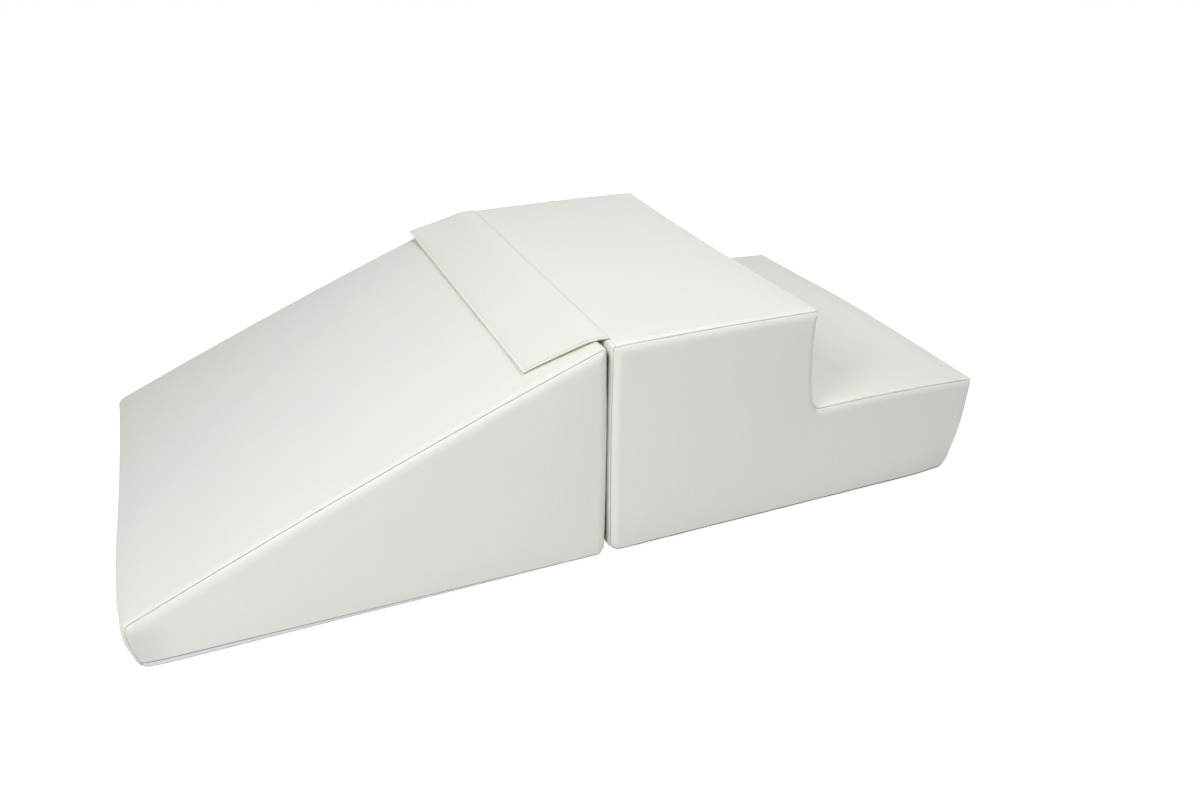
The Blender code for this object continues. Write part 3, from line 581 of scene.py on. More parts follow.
class Block:
    """One foam block's side outline, anticlockwise, base edge first, and its zip's reach along X."""

    def __init__(self, edges, zip_start, zip_end, pinch, step=FACE_STEP):
        self.edges = edges
        self.pinch = pinch
        self.zip_start = zip_start
        self.zip_end = zip_end
        self.step = step
        self.directions = []
        self.counts = []
        for index, edge in enumerate(edges):
            run = Vector(edges[(index + 1) % len(edges)].start) - Vector(edge.start)
            self.directions.append(run.normalized())
            self.counts.append(max(2, round(run.length / step)))
        self.window_start = zip_start - STOP_LENGTH - WINDOW_MARGIN
        self.window_end = zip_end + STOP_LENGTH + WINDOW_MARGIN

    def coarser(self):
        """The same block with the few points that the settling needs."""
        edges = [edge._replace(steps=DRAPE_CORNER_STEPS) for edge in self.edges]
        return Block(edges, self.zip_start, self.zip_end, self.pinch, DRAPE_STEP)

    def middle(self):
        spots = [edge.start for edge in self.edges]
        return Vector((sum(spot[0] for spot in spots), 0, sum(spot[1] for spot in spots))) / len(spots)

    def sharp_corner(self, index, inset_before, inset_after):
        before = -outward(self.directions[index - 1])
        after = -outward(self.directions[index])
        turn = before.dot(after)
        spread = 1 - turn * turn
        move_before = (inset_before - turn * inset_after) / spread
        move_after = (inset_after - turn * inset_before) / spread
        return Vector(self.edges[index].start) + before * move_before + after * move_after

    def corner_arc(self, index, insets):
        edge = self.edges[index]
        arriving = self.directions[index - 1]
        turn = arriving.angle_signed(self.directions[index]) * -1
        corner_insets = (insets[index - 1][1], insets[index][0])
        inset = sum(corner_insets) / 2
        if turn > 0:
            radius = max(edge.radius - inset, LEAST_RADIUS)
            spoke = outward(arriving) * radius
        else:
            radius = edge.radius + inset
            spoke = outward(arriving) * -radius
        back = radius * math.tan(abs(turn) / 2)
        centre = self.sharp_corner(index, *corner_insets) - arriving * back - spoke
        return [centre + turned(spoke, turn * step / edge.steps) for step in range(edge.steps + 1)]

    def outline(self, insets, width_share):
        """Points of each corner and edge in turn. Each edge has an inset at its start and at its end."""
        arcs = [self.corner_arc(index, insets) for index in range(len(self.edges))]
        pieces = []
        for index, edge in enumerate(self.edges):
            start = arcs[index][-1]
            end = arcs[(index + 1) % len(arcs)][0]
            normal = outward(self.directions[index])
            crown = edge.seam_crown + (edge.crown - edge.seam_crown) * (1 - width_share ** 2)
            inner = []
            for step in range(1, self.counts[index]):
                share = step / self.counts[index]
                inner.append(start.lerp(end, share) + normal * (crown * 4 * share * (1 - share)))
            pieces.append((arcs[index], inner))
        return pieces

    def rounding_row(self, side, angle, depth=0.0):
        """The outline on the rounding of a long edge, with its widths. The angle is 0 at the side."""
        insets = []
        widths = []
        for edge in self.edges:
            turns = [edge_angle(angle, seam) for seam in edge.seams]
            rises = [(edge.softness - depth) * math.sin(max(turn, 0)) for turn in turns]
            drops = [EDGE_SOFTNESS * min(turn, 0) for turn in turns]
            insets.append([edge.softness - rise - drop for rise, drop in zip(rises, drops)])
            spread = [(EDGE_SOFTNESS - depth) * math.cos(max(turn, 0)) for turn in turns]
            widths.append([side * (FLAT_HALF_WIDTH + width) for width in spread])
        return self.outline(insets, 1.0), widths, self.pinch

    def face_row(self, y, depth=0.0):
        insets = [(depth, depth)] * len(self.edges)
        return self.outline(insets, y / FLAT_HALF_WIDTH), [(y, y)] * len(self.edges), self.pinch


def slide_outline():
    base_soft = limited(BASE_SOFTNESS, TOE_HEIGHT)
    base_radius = limited(BASE_CORNER_RADIUS, TOE_HEIGHT)
    soft = limited(EDGE_SOFTNESS, TOE_HEIGHT)
    ramp = (RAMP_CROWN_AT_SEAM, RAMP_CROWN)
    edges = [
        Edge((TOE_X + TOE_LEAN, 0), base_radius, BASE_CORNER_STEPS, base_soft, 0, 0, SLIDE_BASE_SEAM),
        Edge((SLIDE_BACK, 0), base_radius, BASE_CORNER_STEPS, soft, BACK_CROWN, BACK_CROWN),
        Edge((SLIDE_BACK, SLIDE_HEIGHT), RIDGE_RADIUS, CORNER_STEPS, soft, *ramp),
        Edge((TOE_X, TOE_HEIGHT), TOE_RADIUS, CORNER_STEPS, soft, TOE_CROWN, TOE_CROWN, TOE_SEAM),
    ]
    return Block(edges, TOE_X + TOE_LEAN + ZIP_END_MARGIN, SLIDE_BACK - ZIP_END_MARGIN, TOE_PINCH)


def step_outline():
    base_soft = limited(BASE_SOFTNESS, TREAD_HEIGHT)
    base_radius = limited(BASE_CORNER_RADIUS, TREAD_HEIGHT)
    foot_radius = limited(FRONT_FOOT_RADIUS, TREAD_HEIGHT)
    soft = limited(EDGE_SOFTNESS, TREAD_HEIGHT)
    corner = STEP_CORNER_RADIUS
    tread = (TREAD_CROWN_AT_SEAM, TREAD_CROWN)
    riser = (-RISER_HOLLOW_AT_SEAM, -RISER_HOLLOW)
    top = (STEP_TOP_CROWN_AT_SEAM, STEP_TOP_CROWN)
    edges = [
        Edge((STEP_BACK, 0), base_radius, BASE_CORNER_STEPS, base_soft, 0, 0, STEP_BASE_SEAM),
        Edge((FRONT_X - FRONT_LEAN, 0), foot_radius, BASE_CORNER_STEPS, soft, FRONT_CROWN, FRONT_CROWN),
        Edge((FRONT_X, TREAD_HEIGHT - TREAD_FRONT_DROP), corner, CORNER_STEPS, soft, *tread),
        Edge((RISER_TOP_X + RISER_LEAN, TREAD_HEIGHT), INNER_CORNER_RADIUS, CORNER_STEPS, soft, *riser),
        Edge((RISER_TOP_X, STEP_HEIGHT), corner, CORNER_STEPS, soft, *top),
        Edge((STEP_BACK, STEP_HEIGHT - FLAP_SEAM_DROP), corner, CORNER_STEPS, soft, BACK_CROWN, BACK_CROWN),
    ]
    return Block(edges, STEP_BACK + ZIP_END_MARGIN, FRONT_X - FRONT_LEAN - ZIP_END_MARGIN, FRONT_PINCH)


def edge_angle(angle, seam):
    """The angle on an edge's rounding, where the seam lies at its own angle. Below 0 is up the side."""
    if angle < SEAM_ANGLE:
        above = min(0, seam - ABOVE_BASE_SEAM)
        return above + (seam - above) * angle / SEAM_ANGLE
    return RIGHT_ANGLE - (RIGHT_ANGLE - angle) * (RIGHT_ANGLE - seam) / (RIGHT_ANGLE - SEAM_ANGLE)


def pinched(spot, y, pinch):
    """An outline's point in space. The seams draw in the low corners at the block's outer end."""
    share = eased(1 - abs(spot.x - pinch.x) / pinch.reach) * eased(1 - spot.y / PINCH_HEIGHT)
    share *= eased((abs(y) - PINCH_FROM) / PINCH_FADE)
    return spot.x, y - math.copysign(pinch.depth * float(share), y), spot.y


def placed(row):
    """The pieces of an outline in space. The width turns from edge to edge at the corners."""
    pieces, widths, pinch = row
    shaped = []
    for index, (arc, inner) in enumerate(pieces):
        start, end = widths[index]
        bend = np.linspace(widths[index - 1][1], start, len(arc))
        run = np.linspace(start, end, len(inner) + 2)[1:-1]
        corner = [pinched(spot, width, pinch) for spot, width in zip(arc, bend)]
        shaped.append((corner, [pinched(spot, width, pinch) for spot, width in zip(inner, run)]))
    return shaped


def loop_points(row):
    """Every point of an outline, round the block at one width."""
    return [point for arc, inner in placed(row) for point in arc + inner]


def strip_points(row, first, last):
    """Points from one (corner, step) of an outline to another, cut at a seam at both ends."""
    pieces = placed(row)
    start_corner, start_step = first
    end_corner, end_step = last
    points = pieces[start_corner][0][start_step:]
    lead = len(points)
    points += pieces[start_corner][1]
    corner = (start_corner + 1) % len(pieces)
    while corner != end_corner:
        points += pieces[corner][0] + pieces[corner][1]
        corner = (corner + 1) % len(pieces)
    points += pieces[end_corner][0][:end_step + 1]
    return seam_cut(seam_cut(np.array(points), lead)[::-1], end_step + 1)[::-1]


def seam_cut(points, lead):
    """The same line with its first points at a seam's own distances, and the next ones spread evenly."""
    lengths = run_lengths(points)
    keep = lead + 1
    distances = [SEAM_HALF_GAP + distance for distance in LIP_DISTANCES]
    spread = np.linspace(distances[-1], lengths[keep], lead + 2)[1:-1]
    distances += list(spread)
    first = np.stack([np.interp(distances, lengths, values) for values in points.T], axis=1)
    return np.concatenate([first, points[keep:]])


def run_lengths(points):
    """How far along a line each of its points lies."""
    steps = np.linalg.norm(np.diff(points, axis=0), axis=1)
    return np.concatenate([[0.0], np.cumsum(steps)])


def from_ends(lengths):
    return np.minimum(lengths, lengths[-1] - lengths)


def lip_depth(distance):
    """How far a cover's surface turns in, that close to its seam."""
    if distance >= LIP_RADIUS:
        return 0.0
    return LIP_RADIUS - math.sqrt(LIP_RADIUS ** 2 - (LIP_RADIUS - distance) ** 2)


def lip_depths(distances):
    return np.array([lip_depth(distance) for distance in distances])


def grid_normals(grid, closed=False):
    """Unit normals of a grid of points, in rows."""
    if closed:
        along = np.roll(grid, -1, axis=1) - np.roll(grid, 1, axis=1)
    else:
        along = np.gradient(grid, axis=1)
    normals = np.cross(np.gradient(grid, axis=0), along)
    return normals / np.maximum(np.linalg.norm(normals, axis=2, keepdims=True), LEAST_LENGTH)


def facing_out(grid, normals, middle):
    """The normals of a grid, turned so that they look away from the block's middle."""
    return normals if ((grid - np.array(middle)) * normals).sum() > 0 else -normals


def ripples(places, seed):
    """A slow wave along a seam, never quite regular."""
    spots = [Vector((place / PUCKER_PITCH, seed * RIPPLE_ROW, 0.5)) for place in places]
    return np.array([noise.noise(spot) for spot in spots])


def pucker_fade(distances):
    """How strongly the pull of the thread shows, that far from a seam."""
    return np.exp(-np.asarray(distances) / PUCKER_REACH)


def grid_faces(rows, columns, closed=False):
    faces = []
    for row in range(rows - 1):
        for column in range(columns if closed else columns - 1):
            following = (column + 1) % columns
            low = row * columns
            high = low + columns
            faces.append((low + column, low + following, high + following, high + column))
    return faces


def new_mesh(name, verts, faces, marks=()):
    """A mesh with its faces turned the same way, and values kept on its points by name."""
    mesh = bpy.data.meshes.new(name)
    mesh.from_pydata([tuple(vert) for vert in verts], [], faces)
    bm = bmesh.new()
    bm.from_mesh(mesh)
    bmesh.ops.recalc_face_normals(bm, faces=bm.faces)
    bm.to_mesh(mesh)
    bm.free()
    for key, values in marks:
        layer = mesh.attributes.new(key, "FLOAT", "POINT")
        layer.data.foreach_set("value", np.asarray(values, np.float32).reshape(-1))
    return mesh


def new_piece(name, mesh, finish, smooth=True):
    if smooth:
        mesh.shade_smooth()
    mesh.materials.append(finish)
    piece = bpy.data.objects.new(name, mesh)
    bpy.context.scene.collection.objects.link(piece)
    return piece


def thicken(piece, thickness, middle):
    """Gives a sheet its thickness, inward from the side that looks away from a point."""
    mesh = piece.data
    total = sum((face.center - middle).dot(face.normal) * face.area for face in mesh.polygons)
    if total < 0:
        mesh.flip_normals()
    solid = piece.modifiers.new("thickness", "SOLIDIFY")
    solid.thickness = thickness
    solid.offset = -1.0


def fit(piece, body, slot, *nodes):
    """Puts a piece on its body, in place of the nodes that it stands for."""
    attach(piece, body)
    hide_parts(*nodes)


def eased(share):
    """A share from 0 to 1 that starts and ends gently."""
    share = np.clip(share, 0, 1)
    return share * share * (3 - 2 * share)


def slack(spot):
    """Slow swells and faint pull lines of the vinyl. The walls that touch keep flat."""
    x, y, z = spot
    swell = noise.noise(Vector((x, y, z)) / SLACK_PITCH[0])
    pull = noise.noise(Vector((x / SLACK_PITCH[1], y / SLACK_PITCH[0], z / SLACK_PITCH[0])))
    height = SLACK_SHARES[0] * swell + SLACK_SHARES[1] * pull
    return SLACK_HEIGHT * height * min(1.0, abs(x) / TOUCHING_REACH)


def pushed_out(grid, swell):
    """A cover's grid with a soft swell of the foam that pushes one wall out between its side seams."""
    x, y, z = np.moveaxis(grid, -1, 0)
    share = eased(1 - np.abs(x - swell.x) / swell.reach) * eased((z - swell.low) / SWELL_FADE)
    share *= np.exp(-((y - swell.y) / swell.width) ** 2) * eased((FLAT_HALF_WIDTH - np.abs(y)) / SWELL_FADE)
    grown = grid.copy()
    grown[..., 0] += swell.push * share
    grown[..., 2] += swell.lift * share
    return grown


class Drape:
    """How far a cover stands off its cut shape once the foam has filled it."""

    def __init__(self, spots=(), heights=()):
        self.heights = heights
        self.tree = kdtree.KDTree(max(len(spots), 1))
        for index, spot in enumerate(spots):
            self.tree.insert(spot, index)
        self.tree.balance()

    def height(self, spot):
        total = 0.0
        weights = 0.0
        if len(self.heights) == 0:
            return total
        for found, index, distance in self.tree.find_n(spot, DRAPE_NEIGHBOURS):
            weight = math.exp(-(distance / DRAPE_BLUR) ** 2) + LEAST_WEIGHT
            total += weight * self.heights[index]
            weights += weight
        return total / weights * min(1.0, abs(spot[0]) / TOUCHING_REACH)

    def grid_heights(self, grid, distances):
        """The drape over a grid of points, fading out at the seams."""
        heights = np.array([self.height(spot) + slack(spot) for spot in grid.reshape(-1, 3)])
        return heights.reshape(grid.shape[:2]) * eased(distances / DRAPE_FADE)


def skin_heights(spots, distances, triangles):
    """How a side panel swells: up from its rim and level in the middle, with no ridge between."""
    share = np.clip(np.asarray(distances) / SIDE_CROWN_REACH, 0, 1)
    heights = SIDE_CROWN * (1 - (1 - share) ** 2)
    corners = np.array(triangles)
    pairs = np.concatenate([corners[:, (0, 1)], corners[:, (1, 2)], corners[:, (2, 0)]])
    pairs = np.unique(np.sort(pairs, axis=1), axis=0)
    uses = np.bincount(pairs.reshape(-1), minlength=len(spots))
    free = np.asarray(distances) > 0
    for turn in range(SMOOTHING_TURNS):
        total = np.bincount(pairs[:, 0], heights[pairs[:, 1]], len(spots))
        total += np.bincount(pairs[:, 1], heights[pairs[:, 0]], len(spots))
        heights[free] = total[free] / uses[free]
    return heights


def room_inside(x, z, rim):
    """Distance from a point to an outline, 0 outside it."""
    xs = rim[:, 0]
    zs = rim[:, 2]
    next_zs = np.roll(zs, -1)
    crosses = (zs > z) != (next_zs > z)
    rise = np.where(crosses, next_zs - zs, 1.0)
    hits = xs + (z - zs) * (np.roll(xs, -1) - xs) / rise
    if (crosses & (x < hits)).sum() % 2 == 0:
        return 0.0
    return np.hypot(xs - x, zs - z).min()


def side_lattice(rim, step):
    """Even points inside a side panel's rim, in a triangular pattern."""
    low = rim.min(axis=0)
    high = rim.max(axis=0)
    lattice = []
    rooms = []
    row_height = step * math.sqrt(3) / 2
    for row in range(int((high[2] - low[2]) / row_height) + 1):
        z = low[2] + row_height * (row + 0.5)
        for column in range(int((high[0] - low[0]) / step) + 1):
            x = low[0] + step * (column + 0.25 + 0.5 * (row % 2))
            room = room_inside(x, z, rim)
            if room > step * LATTICE_ROOM:
                lattice.append(Vector((x, z)))
                rooms.append(room)
    return lattice, rooms


def side_fill(rim, side, block, drape):
    """Points and triangles that close a side panel inside its rim. The rim's points keep their numbers."""
    outline = [Vector((point[0], point[2])) for point in rim]
    lattice, rooms = side_lattice(rim, block.step)
    count = len(outline)
    result = delaunay_2d_cdt(outline + lattice, [], [list(range(count))], 1, MERGE_DISTANCE, True)
    sources = [found[0] for found in result[3]]
    triangles = []
    for triangle in result[2]:
        corners = [result[0][index] for index in triangle]
        centre = sum(corners, Vector((0, 0))) / 3
        longest = max((corners[turn] - corners[turn - 1]).length for turn in range(3))
        sliver = area_tri(*corners) < SLIVER_SHARE * longest ** 2
        if not sliver and room_inside(centre.x, centre.y, rim) > 0:
            triangles.append(tuple(sources[index] for index in triangle))
    distances = [0.0] * count + rooms
    heights = skin_heights(outline + lattice, distances, triangles)
    points = []
    for spot, height, room in zip(lattice, heights[count:], rooms):
        place = (spot.x, side * HALF_SIDE, spot.y)
        height += (drape.height(place) + slack(place)) * eased(room / DRAPE_FADE)
        points.append(pinched(spot, side * (HALF_SIDE + height), block.pinch))
    return points, triangles, rooms


def side_panel_mesh(name, block, side, drape):
    """Rings round the block's edge from the seam in, then an even fill over the flat of the side."""
    turn = SEAM_ANGLE - SEAM_HALF_GAP / EDGE_SOFTNESS
    stations = [(turn - distance / EDGE_SOFTNESS, distance) for distance in LIP_DISTANCES]
    stations += [(angle, (SEAM_ANGLE - angle) * EDGE_SOFTNESS) for angle in SIDE_ANGLES]
    distances = np.array([distance for angle, distance in stations])
    grid = np.array([loop_points(block.rounding_row(side, angle)) for angle, distance in stations])
    normals = facing_out(grid, grid_normals(grid, closed=True), block.middle())
    width = np.linalg.norm(np.diff(grid, axis=0), axis=2).sum(axis=0)
    height = PUCKER_HEIGHT * np.minimum(width / distances[-1], 1)
    swell = np.outer(pucker_fade(distances), height * ripples(run_lengths(grid[-1]), side))
    swell[-1] = 0
    surface = grid + normals * (swell - lip_depths(distances)[:, None])[..., None]
    turned_in = surface[:1] - normals[:1] * (ALLOWANCE_DEPTH - LIP_RADIUS)
    surface = np.concatenate([turned_in, surface])
    rings, columns = surface.shape[:2]
    points, triangles, rooms = side_fill(surface[-1], side, block, drape)
    verts = [tuple(vert) for vert in surface.reshape(-1, 3)] + points
    first = (rings - 1) * columns
    faces = grid_faces(rings, columns, closed=True)
    faces += [tuple(first + index for index in triangle) for triangle in triangles]
    marks = np.repeat([0.0, *distances], columns).tolist() + [distances[-1] + room for room in rooms]
    return new_mesh(name, verts, faces, [("seam", marks)])


def make_side_panel(name, block, side, drape, body):
    mesh = side_panel_mesh(name, block, side, drape)
    panel = new_piece(f"{name}_cover", mesh, VINYL)
    thicken(panel, VINYL_THICKNESS, block.middle())
    fit(panel, body, "vinyl", name)


def across_rows(block):
    """The outlines that a wrapped panel runs through: near rounding, face, far rounding."""
    count = round(2 * FLAT_HALF_WIDTH / block.step)
    rows = [block.rounding_row(-1, angle) for angle in WRAP_ANGLES]
    rows += [block.face_row(FLAT_HALF_WIDTH * (2 * step / count - 1)) for step in range(1, count)]
    rows += [block.rounding_row(1, angle) for angle in reversed(WRAP_ANGLES)]
    return rows


def sewn_surface(grid, block, drape, across, along):
    """A grid with its edges turned in, the pull of the thread beside them and any drape between."""
    normals = facing_out(grid, grid_normals(grid), block.middle())
    rows, columns = grid.shape[:2]
    seed = grid.mean()
    ripples_along = ripples(run_lengths(grid[rows // 2]), seed)
    ripples_across = ripples(run_lengths(grid[:, columns // 2]), seed + 1)
    swell = PUCKER_HEIGHT * np.outer(pucker_fade(across), ripples_along)
    swell += PUCKER_HEIGHT * np.outer(ripples_across, pucker_fade(along))
    seam = np.minimum.outer(across, along)
    if drape is not None:
        swell += drape.grid_heights(grid, seam)
    depth = np.maximum.outer(lip_depths(across), lip_depths(along))
    return grid + normals * (swell - depth)[..., None], normals, seam


def with_allowance(surface, normals, seam, pads):
    """The surface with the turned-in seam allowance added along its padded rims."""
    grown = np.pad(surface, (*pads, (0, 0)), mode="edge")
    directions = np.pad(normals, (*pads, (0, 0)), mode="edge")
    rim = np.ones(grown.shape[:2], bool)
    rows, columns = surface.shape[:2]
    rim[pads[0][0]:pads[0][0] + rows, pads[1][0]:pads[1][0] + columns] = False
    grown[rim] -= directions[rim] * (ALLOWANCE_DEPTH - LIP_RADIUS)
    return grown, np.pad(seam, pads, mode="constant")


def under_flap(ramp, surface):
    """How far in under the flap each point of the ramp's cover lies, as painted shadow: 1 under it, less
    just beyond.
    """
    down = (surface[..., 0] - ramp.top.x) * ramp.down.x + (surface[..., 2] - ramp.top.y) * ramp.down.y
    within_reach = eased((FLAP_REACH + FLAP_SHADOW_FADE - down) / FLAP_SHADOW_FADE)
    within_reach = np.where(surface[..., 2] > ramp.top.y - FLAP_REACH, within_reach, 0.0)
    near = FLAP_ROOT_NEAR + FLAP_SKEW * np.clip(down / FLAP_REACH, 0, 1)
    return within_reach * eased((surface[..., 1] - near + FLAP_SHADOW_FADE) / FLAP_SHADOW_FADE)


def make_wrapped_panel(name, block, first, last, drape, body, swells=(), ramp=None):
    grid = np.array([strip_points(row, first, last) for row in across_rows(block)])
    for swell in swells:
        grid = pushed_out(grid, swell)
    across = from_ends(run_lengths(grid[:, grid.shape[1] // 2]))
    along = from_ends(run_lengths(grid[len(grid) // 2]))
    surface, normals, seam = sewn_surface(grid, block, drape, across, along)
    surface, seam = with_allowance(surface, normals, seam, ((1, 1), (1, 1)))
    marks = [("seam", seam)]
    if ramp is not None:
        marks.append(("flap_shadow", under_flap(ramp, surface)))
    mesh = new_mesh(name, surface.reshape(-1, 3), grid_faces(*surface.shape[:2]), marks)
    panel = new_piece(f"{name}_cover", mesh, VINYL)
    thicken(panel, VINYL_THICKNESS, block.middle())
    fit(panel, body, "vinyl", name)


def base_stations():
    """Rows of half a base panel inside its rounding: y over the zip, y past its ends, lift over it."""
    span = FLAT_HALF_WIDTH - CHANNEL_HALF_WIDTH
    count = round(span / FACE_STEP)
    stations = []
    for step in range(1, count + 1):
        y = FLAT_HALF_WIDTH - span * step / count
        stations.append((y, y, 0.0))
    for share in SLOPE_SHARES:
        open_y = CHANNEL_HALF_WIDTH + (HEM_START - CHANNEL_HALF_WIDTH) * share
        closed_y = CHANNEL_HALF_WIDTH + (CLOSED_HEM_START - CHANNEL_HALF_WIDTH) * share
        stations.append((open_y, closed_y, HEM_LIFT * eased(share)))
    for share in HEM_SHARES:
        open_y = HEM_START + (HEM_EDGE - HEM_START) * share
        closed_y = CLOSED_HEM_START + (SEAM_HALF_GAP - CLOSED_HEM_START) * share
        stations.append((open_y, closed_y, HEM_LIFT))
    return stations


def base_grid(block, side):
    """Half of a base panel, from its side seam in to the channel that keeps the zip off the floor."""
    rows = [strip_points(block.rounding_row(side, angle), *BASE_SEAMS) for angle in WRAP_ANGLES]
    flat = np.array(strip_points(block.face_row(0.0), *BASE_SEAMS))
    opening = np.clip((flat[:, 0] - block.window_start + ZIP_FADE) / ZIP_FADE, 0, 1)
    opening *= np.clip((block.window_end + ZIP_FADE - flat[:, 0]) / ZIP_FADE, 0, 1)
    opening = eased(opening)
    for open_y, closed_y, lift in base_stations():
        row = flat.copy()
        row[:, 1] = side * (closed_y + (open_y - closed_y) * opening)
        row[:, 2] += lift * opening
        rows.append(row)
    return np.array([[tuple(point) for point in row] for row in rows])


def make_base_half(name, block, side, body):
    grid = base_grid(block, side)
    across = run_lengths(grid[:, grid.shape[1] // 2])
    along = from_ends(run_lengths(grid[len(grid) // 2]))
    surface, normals, seam = sewn_surface(grid, block, None, across, along)
    surface[..., 2] = np.maximum(surface[..., 2], FLOOR_GAP)
    surface, seam = with_allowance(surface, normals, seam, ((1, 0), (1, 1)))
    mesh = new_mesh(name, surface.reshape(-1, 3), grid_faces(*surface.shape[:2]), [("seam", seam)])
    panel = new_piece(f"{name}_cover", mesh, GRIP)
    thicken(panel, BASE_THICKNESS, block.middle())
    fit(panel, body, "base_fabric", name)


def make_core(name, block, body):
    """The cut foam inside a cover, with a shallow channel under the zip."""
    edge = RECESS_HALF_WIDTH
    half = [(FLAT_HALF_WIDTH, 0), (CORE_MIDWAY, 0), (edge + RECESS_WALL, 0), (edge, 1)]
    stations = [(-y, lift) for y, lift in half] + [(0.0, 1)] + half[::-1]
    rows = [block.rounding_row(-1, angle, CORE_DEPTH) for angle in CORE_ANGLES]
    lifts = [0] * len(rows) + [lift for y, lift in stations] + [0] * len(rows)
    rows += [block.face_row(y, CORE_DEPTH) for y, lift in stations]
    rows += [block.rounding_row(1, angle, CORE_DEPTH) for angle in reversed(CORE_ANGLES)]
    grid = np.array([loop_points(row) for row in rows])
    for row, lift in zip(grid, lifts):
        if lift:
            row[:, 2] = np.maximum(row[:, 2], RECESS_TOP)
    rings, columns = grid.shape[:2]
    faces = grid_faces(rings, columns, closed=True)
    faces += [tuple(range(columns)), tuple(range((rings - 1) * columns, rings * columns))]
    core = new_piece(f"{name}_cut", new_mesh(name, grid.reshape(-1, 3), faces), FOAM, smooth=False)
    fit(core, body, "foam", name)


def shell_seams(block):
    """Which points of each ring of the shell lie on the seams that cross the width."""
    seams = []
    place = 0
    for index, edge in enumerate(block.edges):
        if index in (BASE_START, BASE_END):
            seams.append(place + 1)
        if index == FLAP_SEAM:
            seams.append(place)
        place += edge.steps + block.counts[index]
    return seams


def cover_shell(block):
    """A coarse closed shell of a whole cover, and the points of it that lie on seams."""
    angles = (*SHELL_SIDE_ANGLES, SEAM_ANGLE, RIGHT_ANGLE)
    seam_ring = len(SHELL_SIDE_ANGLES)
    count = round(2 * FLAT_HALF_WIDTH / DRAPE_STEP)
    rows = [block.rounding_row(-1, angle) for angle in angles]
    rows += [block.face_row(FLAT_HALF_WIDTH * (2 * step / count - 1)) for step in range(1, count)]
    rows += [block.rounding_row(1, angle) for angle in reversed(angles)]
    grid = np.array([loop_points(row) for row in rows])
    rings, columns = grid.shape[:2]
    verts = [tuple(vert) for vert in grid.reshape(-1, 3)]
    faces = grid_faces(rings, columns, closed=True)
    for side, first in ((-1, 0), (1, (rings - 1) * columns)):
        rim = grid[0] if side < 0 else grid[-1]
        points, triangles = side_fill(rim, side, block, Drape())[:2]
        added = len(verts) - columns
        verts += points
        for triangle in triangles:
            faces.append(tuple(first + index if index < columns else added + index for index in triangle))
    rims = (seam_ring, rings - 1 - seam_ring)
    held = [row * columns + column for row in rims for column in range(columns)]
    for row in range(seam_ring, rings - seam_ring):
        held += [row * columns + seam for seam in shell_seams(block)]
    return verts, faces, sorted(set(held))


def settle_cover(name, block):
    """Lets the foam's pressure fill a cover that is held along its seams, and keeps how far it moves."""
    verts, faces, held = cover_shell(block.coarser())
    shell = new_piece(name, new_mesh(name, verts, faces), None)
    seams = shell.vertex_groups.new(name="seams")
    seams.add(held, 1.0, "REPLACE")
    cloth = shell.modifiers.new("cover", "CLOTH")
    cloth.settings.quality = 6
    cloth.settings.mass = 0.25
    cloth.settings.tension_stiffness = 30.0
    cloth.settings.compression_stiffness = 12.0
    cloth.settings.shear_stiffness = 8.0
    cloth.settings.bending_stiffness = 1.5
    cloth.settings.use_pressure = True
    cloth.settings.uniform_pressure_force = DRAPE_PRESSURE
    cloth.settings.vertex_group_mass = seams.name
    cloth.settings.effector_weights.gravity = 0.0
    cloth.collision_settings.use_collision = False
    cloth.point_cache.frame_start = 1
    cloth.point_cache.frame_end = DRAPE_FRAMES
    for number in range(1, DRAPE_FRAMES + 1):
        bpy.context.scene.frame_set(number)
    filled = shell.evaluated_get(bpy.context.evaluated_depsgraph_get())
    heights = []
    for vertex, moved in zip(shell.data.vertices, filled.data.vertices):
        height = (moved.co - vertex.co).dot(vertex.normal)
        heights.append(DRAPE_CAP * math.tanh(height / DRAPE_CAP))
    spots = [vertex.co.copy() for vertex in shell.data.vertices]
    bpy.context.scene.frame_set(1)
    bpy.data.objects.remove(shell, do_unlink=True)
    return Drape(spots, heights)


def stitch_rings(line, normals, start):
    """One stitch: a short thread that rises out of its hole and goes back in."""
    lengths = run_lengths(line)
    rings = []
    for share, height in STITCH_SHAPE:
        place = start + STITCH_LENGTH * share
        spot = Vector([np.interp(place, lengths, line[:, axis]) for axis in range(3)])
        ahead = Vector([np.interp(place + STITCH_AHEAD, lengths, line[:, axis]) for axis in range(3)])
        up = Vector([np.interp(place, lengths, normals[:, axis]) for axis in range(3)]).normalized()
        across = up.cross(ahead - spot).normalized()
        centre = spot + up * (THREAD_RADIUS * height)
        for index in range(THREAD_SIDES):
            angle = math.tau * index / THREAD_SIDES
            offset = up * math.cos(angle) + across * math.sin(angle)
            rings.append(tuple(centre + offset * THREAD_RADIUS))
    return rings


def stitching_mesh(name, lines):
    """Rows of stitches along lines of (points, normals)."""
    verts = []
    faces = []
    for line, normals in lines:
        line = np.asarray(line, float)
        normals = np.asarray(normals, float)
        count = int((run_lengths(line)[-1] - STITCH_LENGTH) / STITCH_PITCH)
        for number in range(count):
            first = len(verts)
            verts += stitch_rings(line, normals, (number + FIRST_STITCH) * STITCH_PITCH)
            rings = (len(verts) - first) // THREAD_SIDES
            for face in grid_faces(rings, THREAD_SIDES, closed=True):
                faces.append(tuple(first + index for index in face))
            faces.append(tuple(range(first, first + THREAD_SIDES)))
            faces.append(tuple(range(len(verts) - THREAD_SIDES, len(verts))))
    return new_mesh(name, verts, faces)


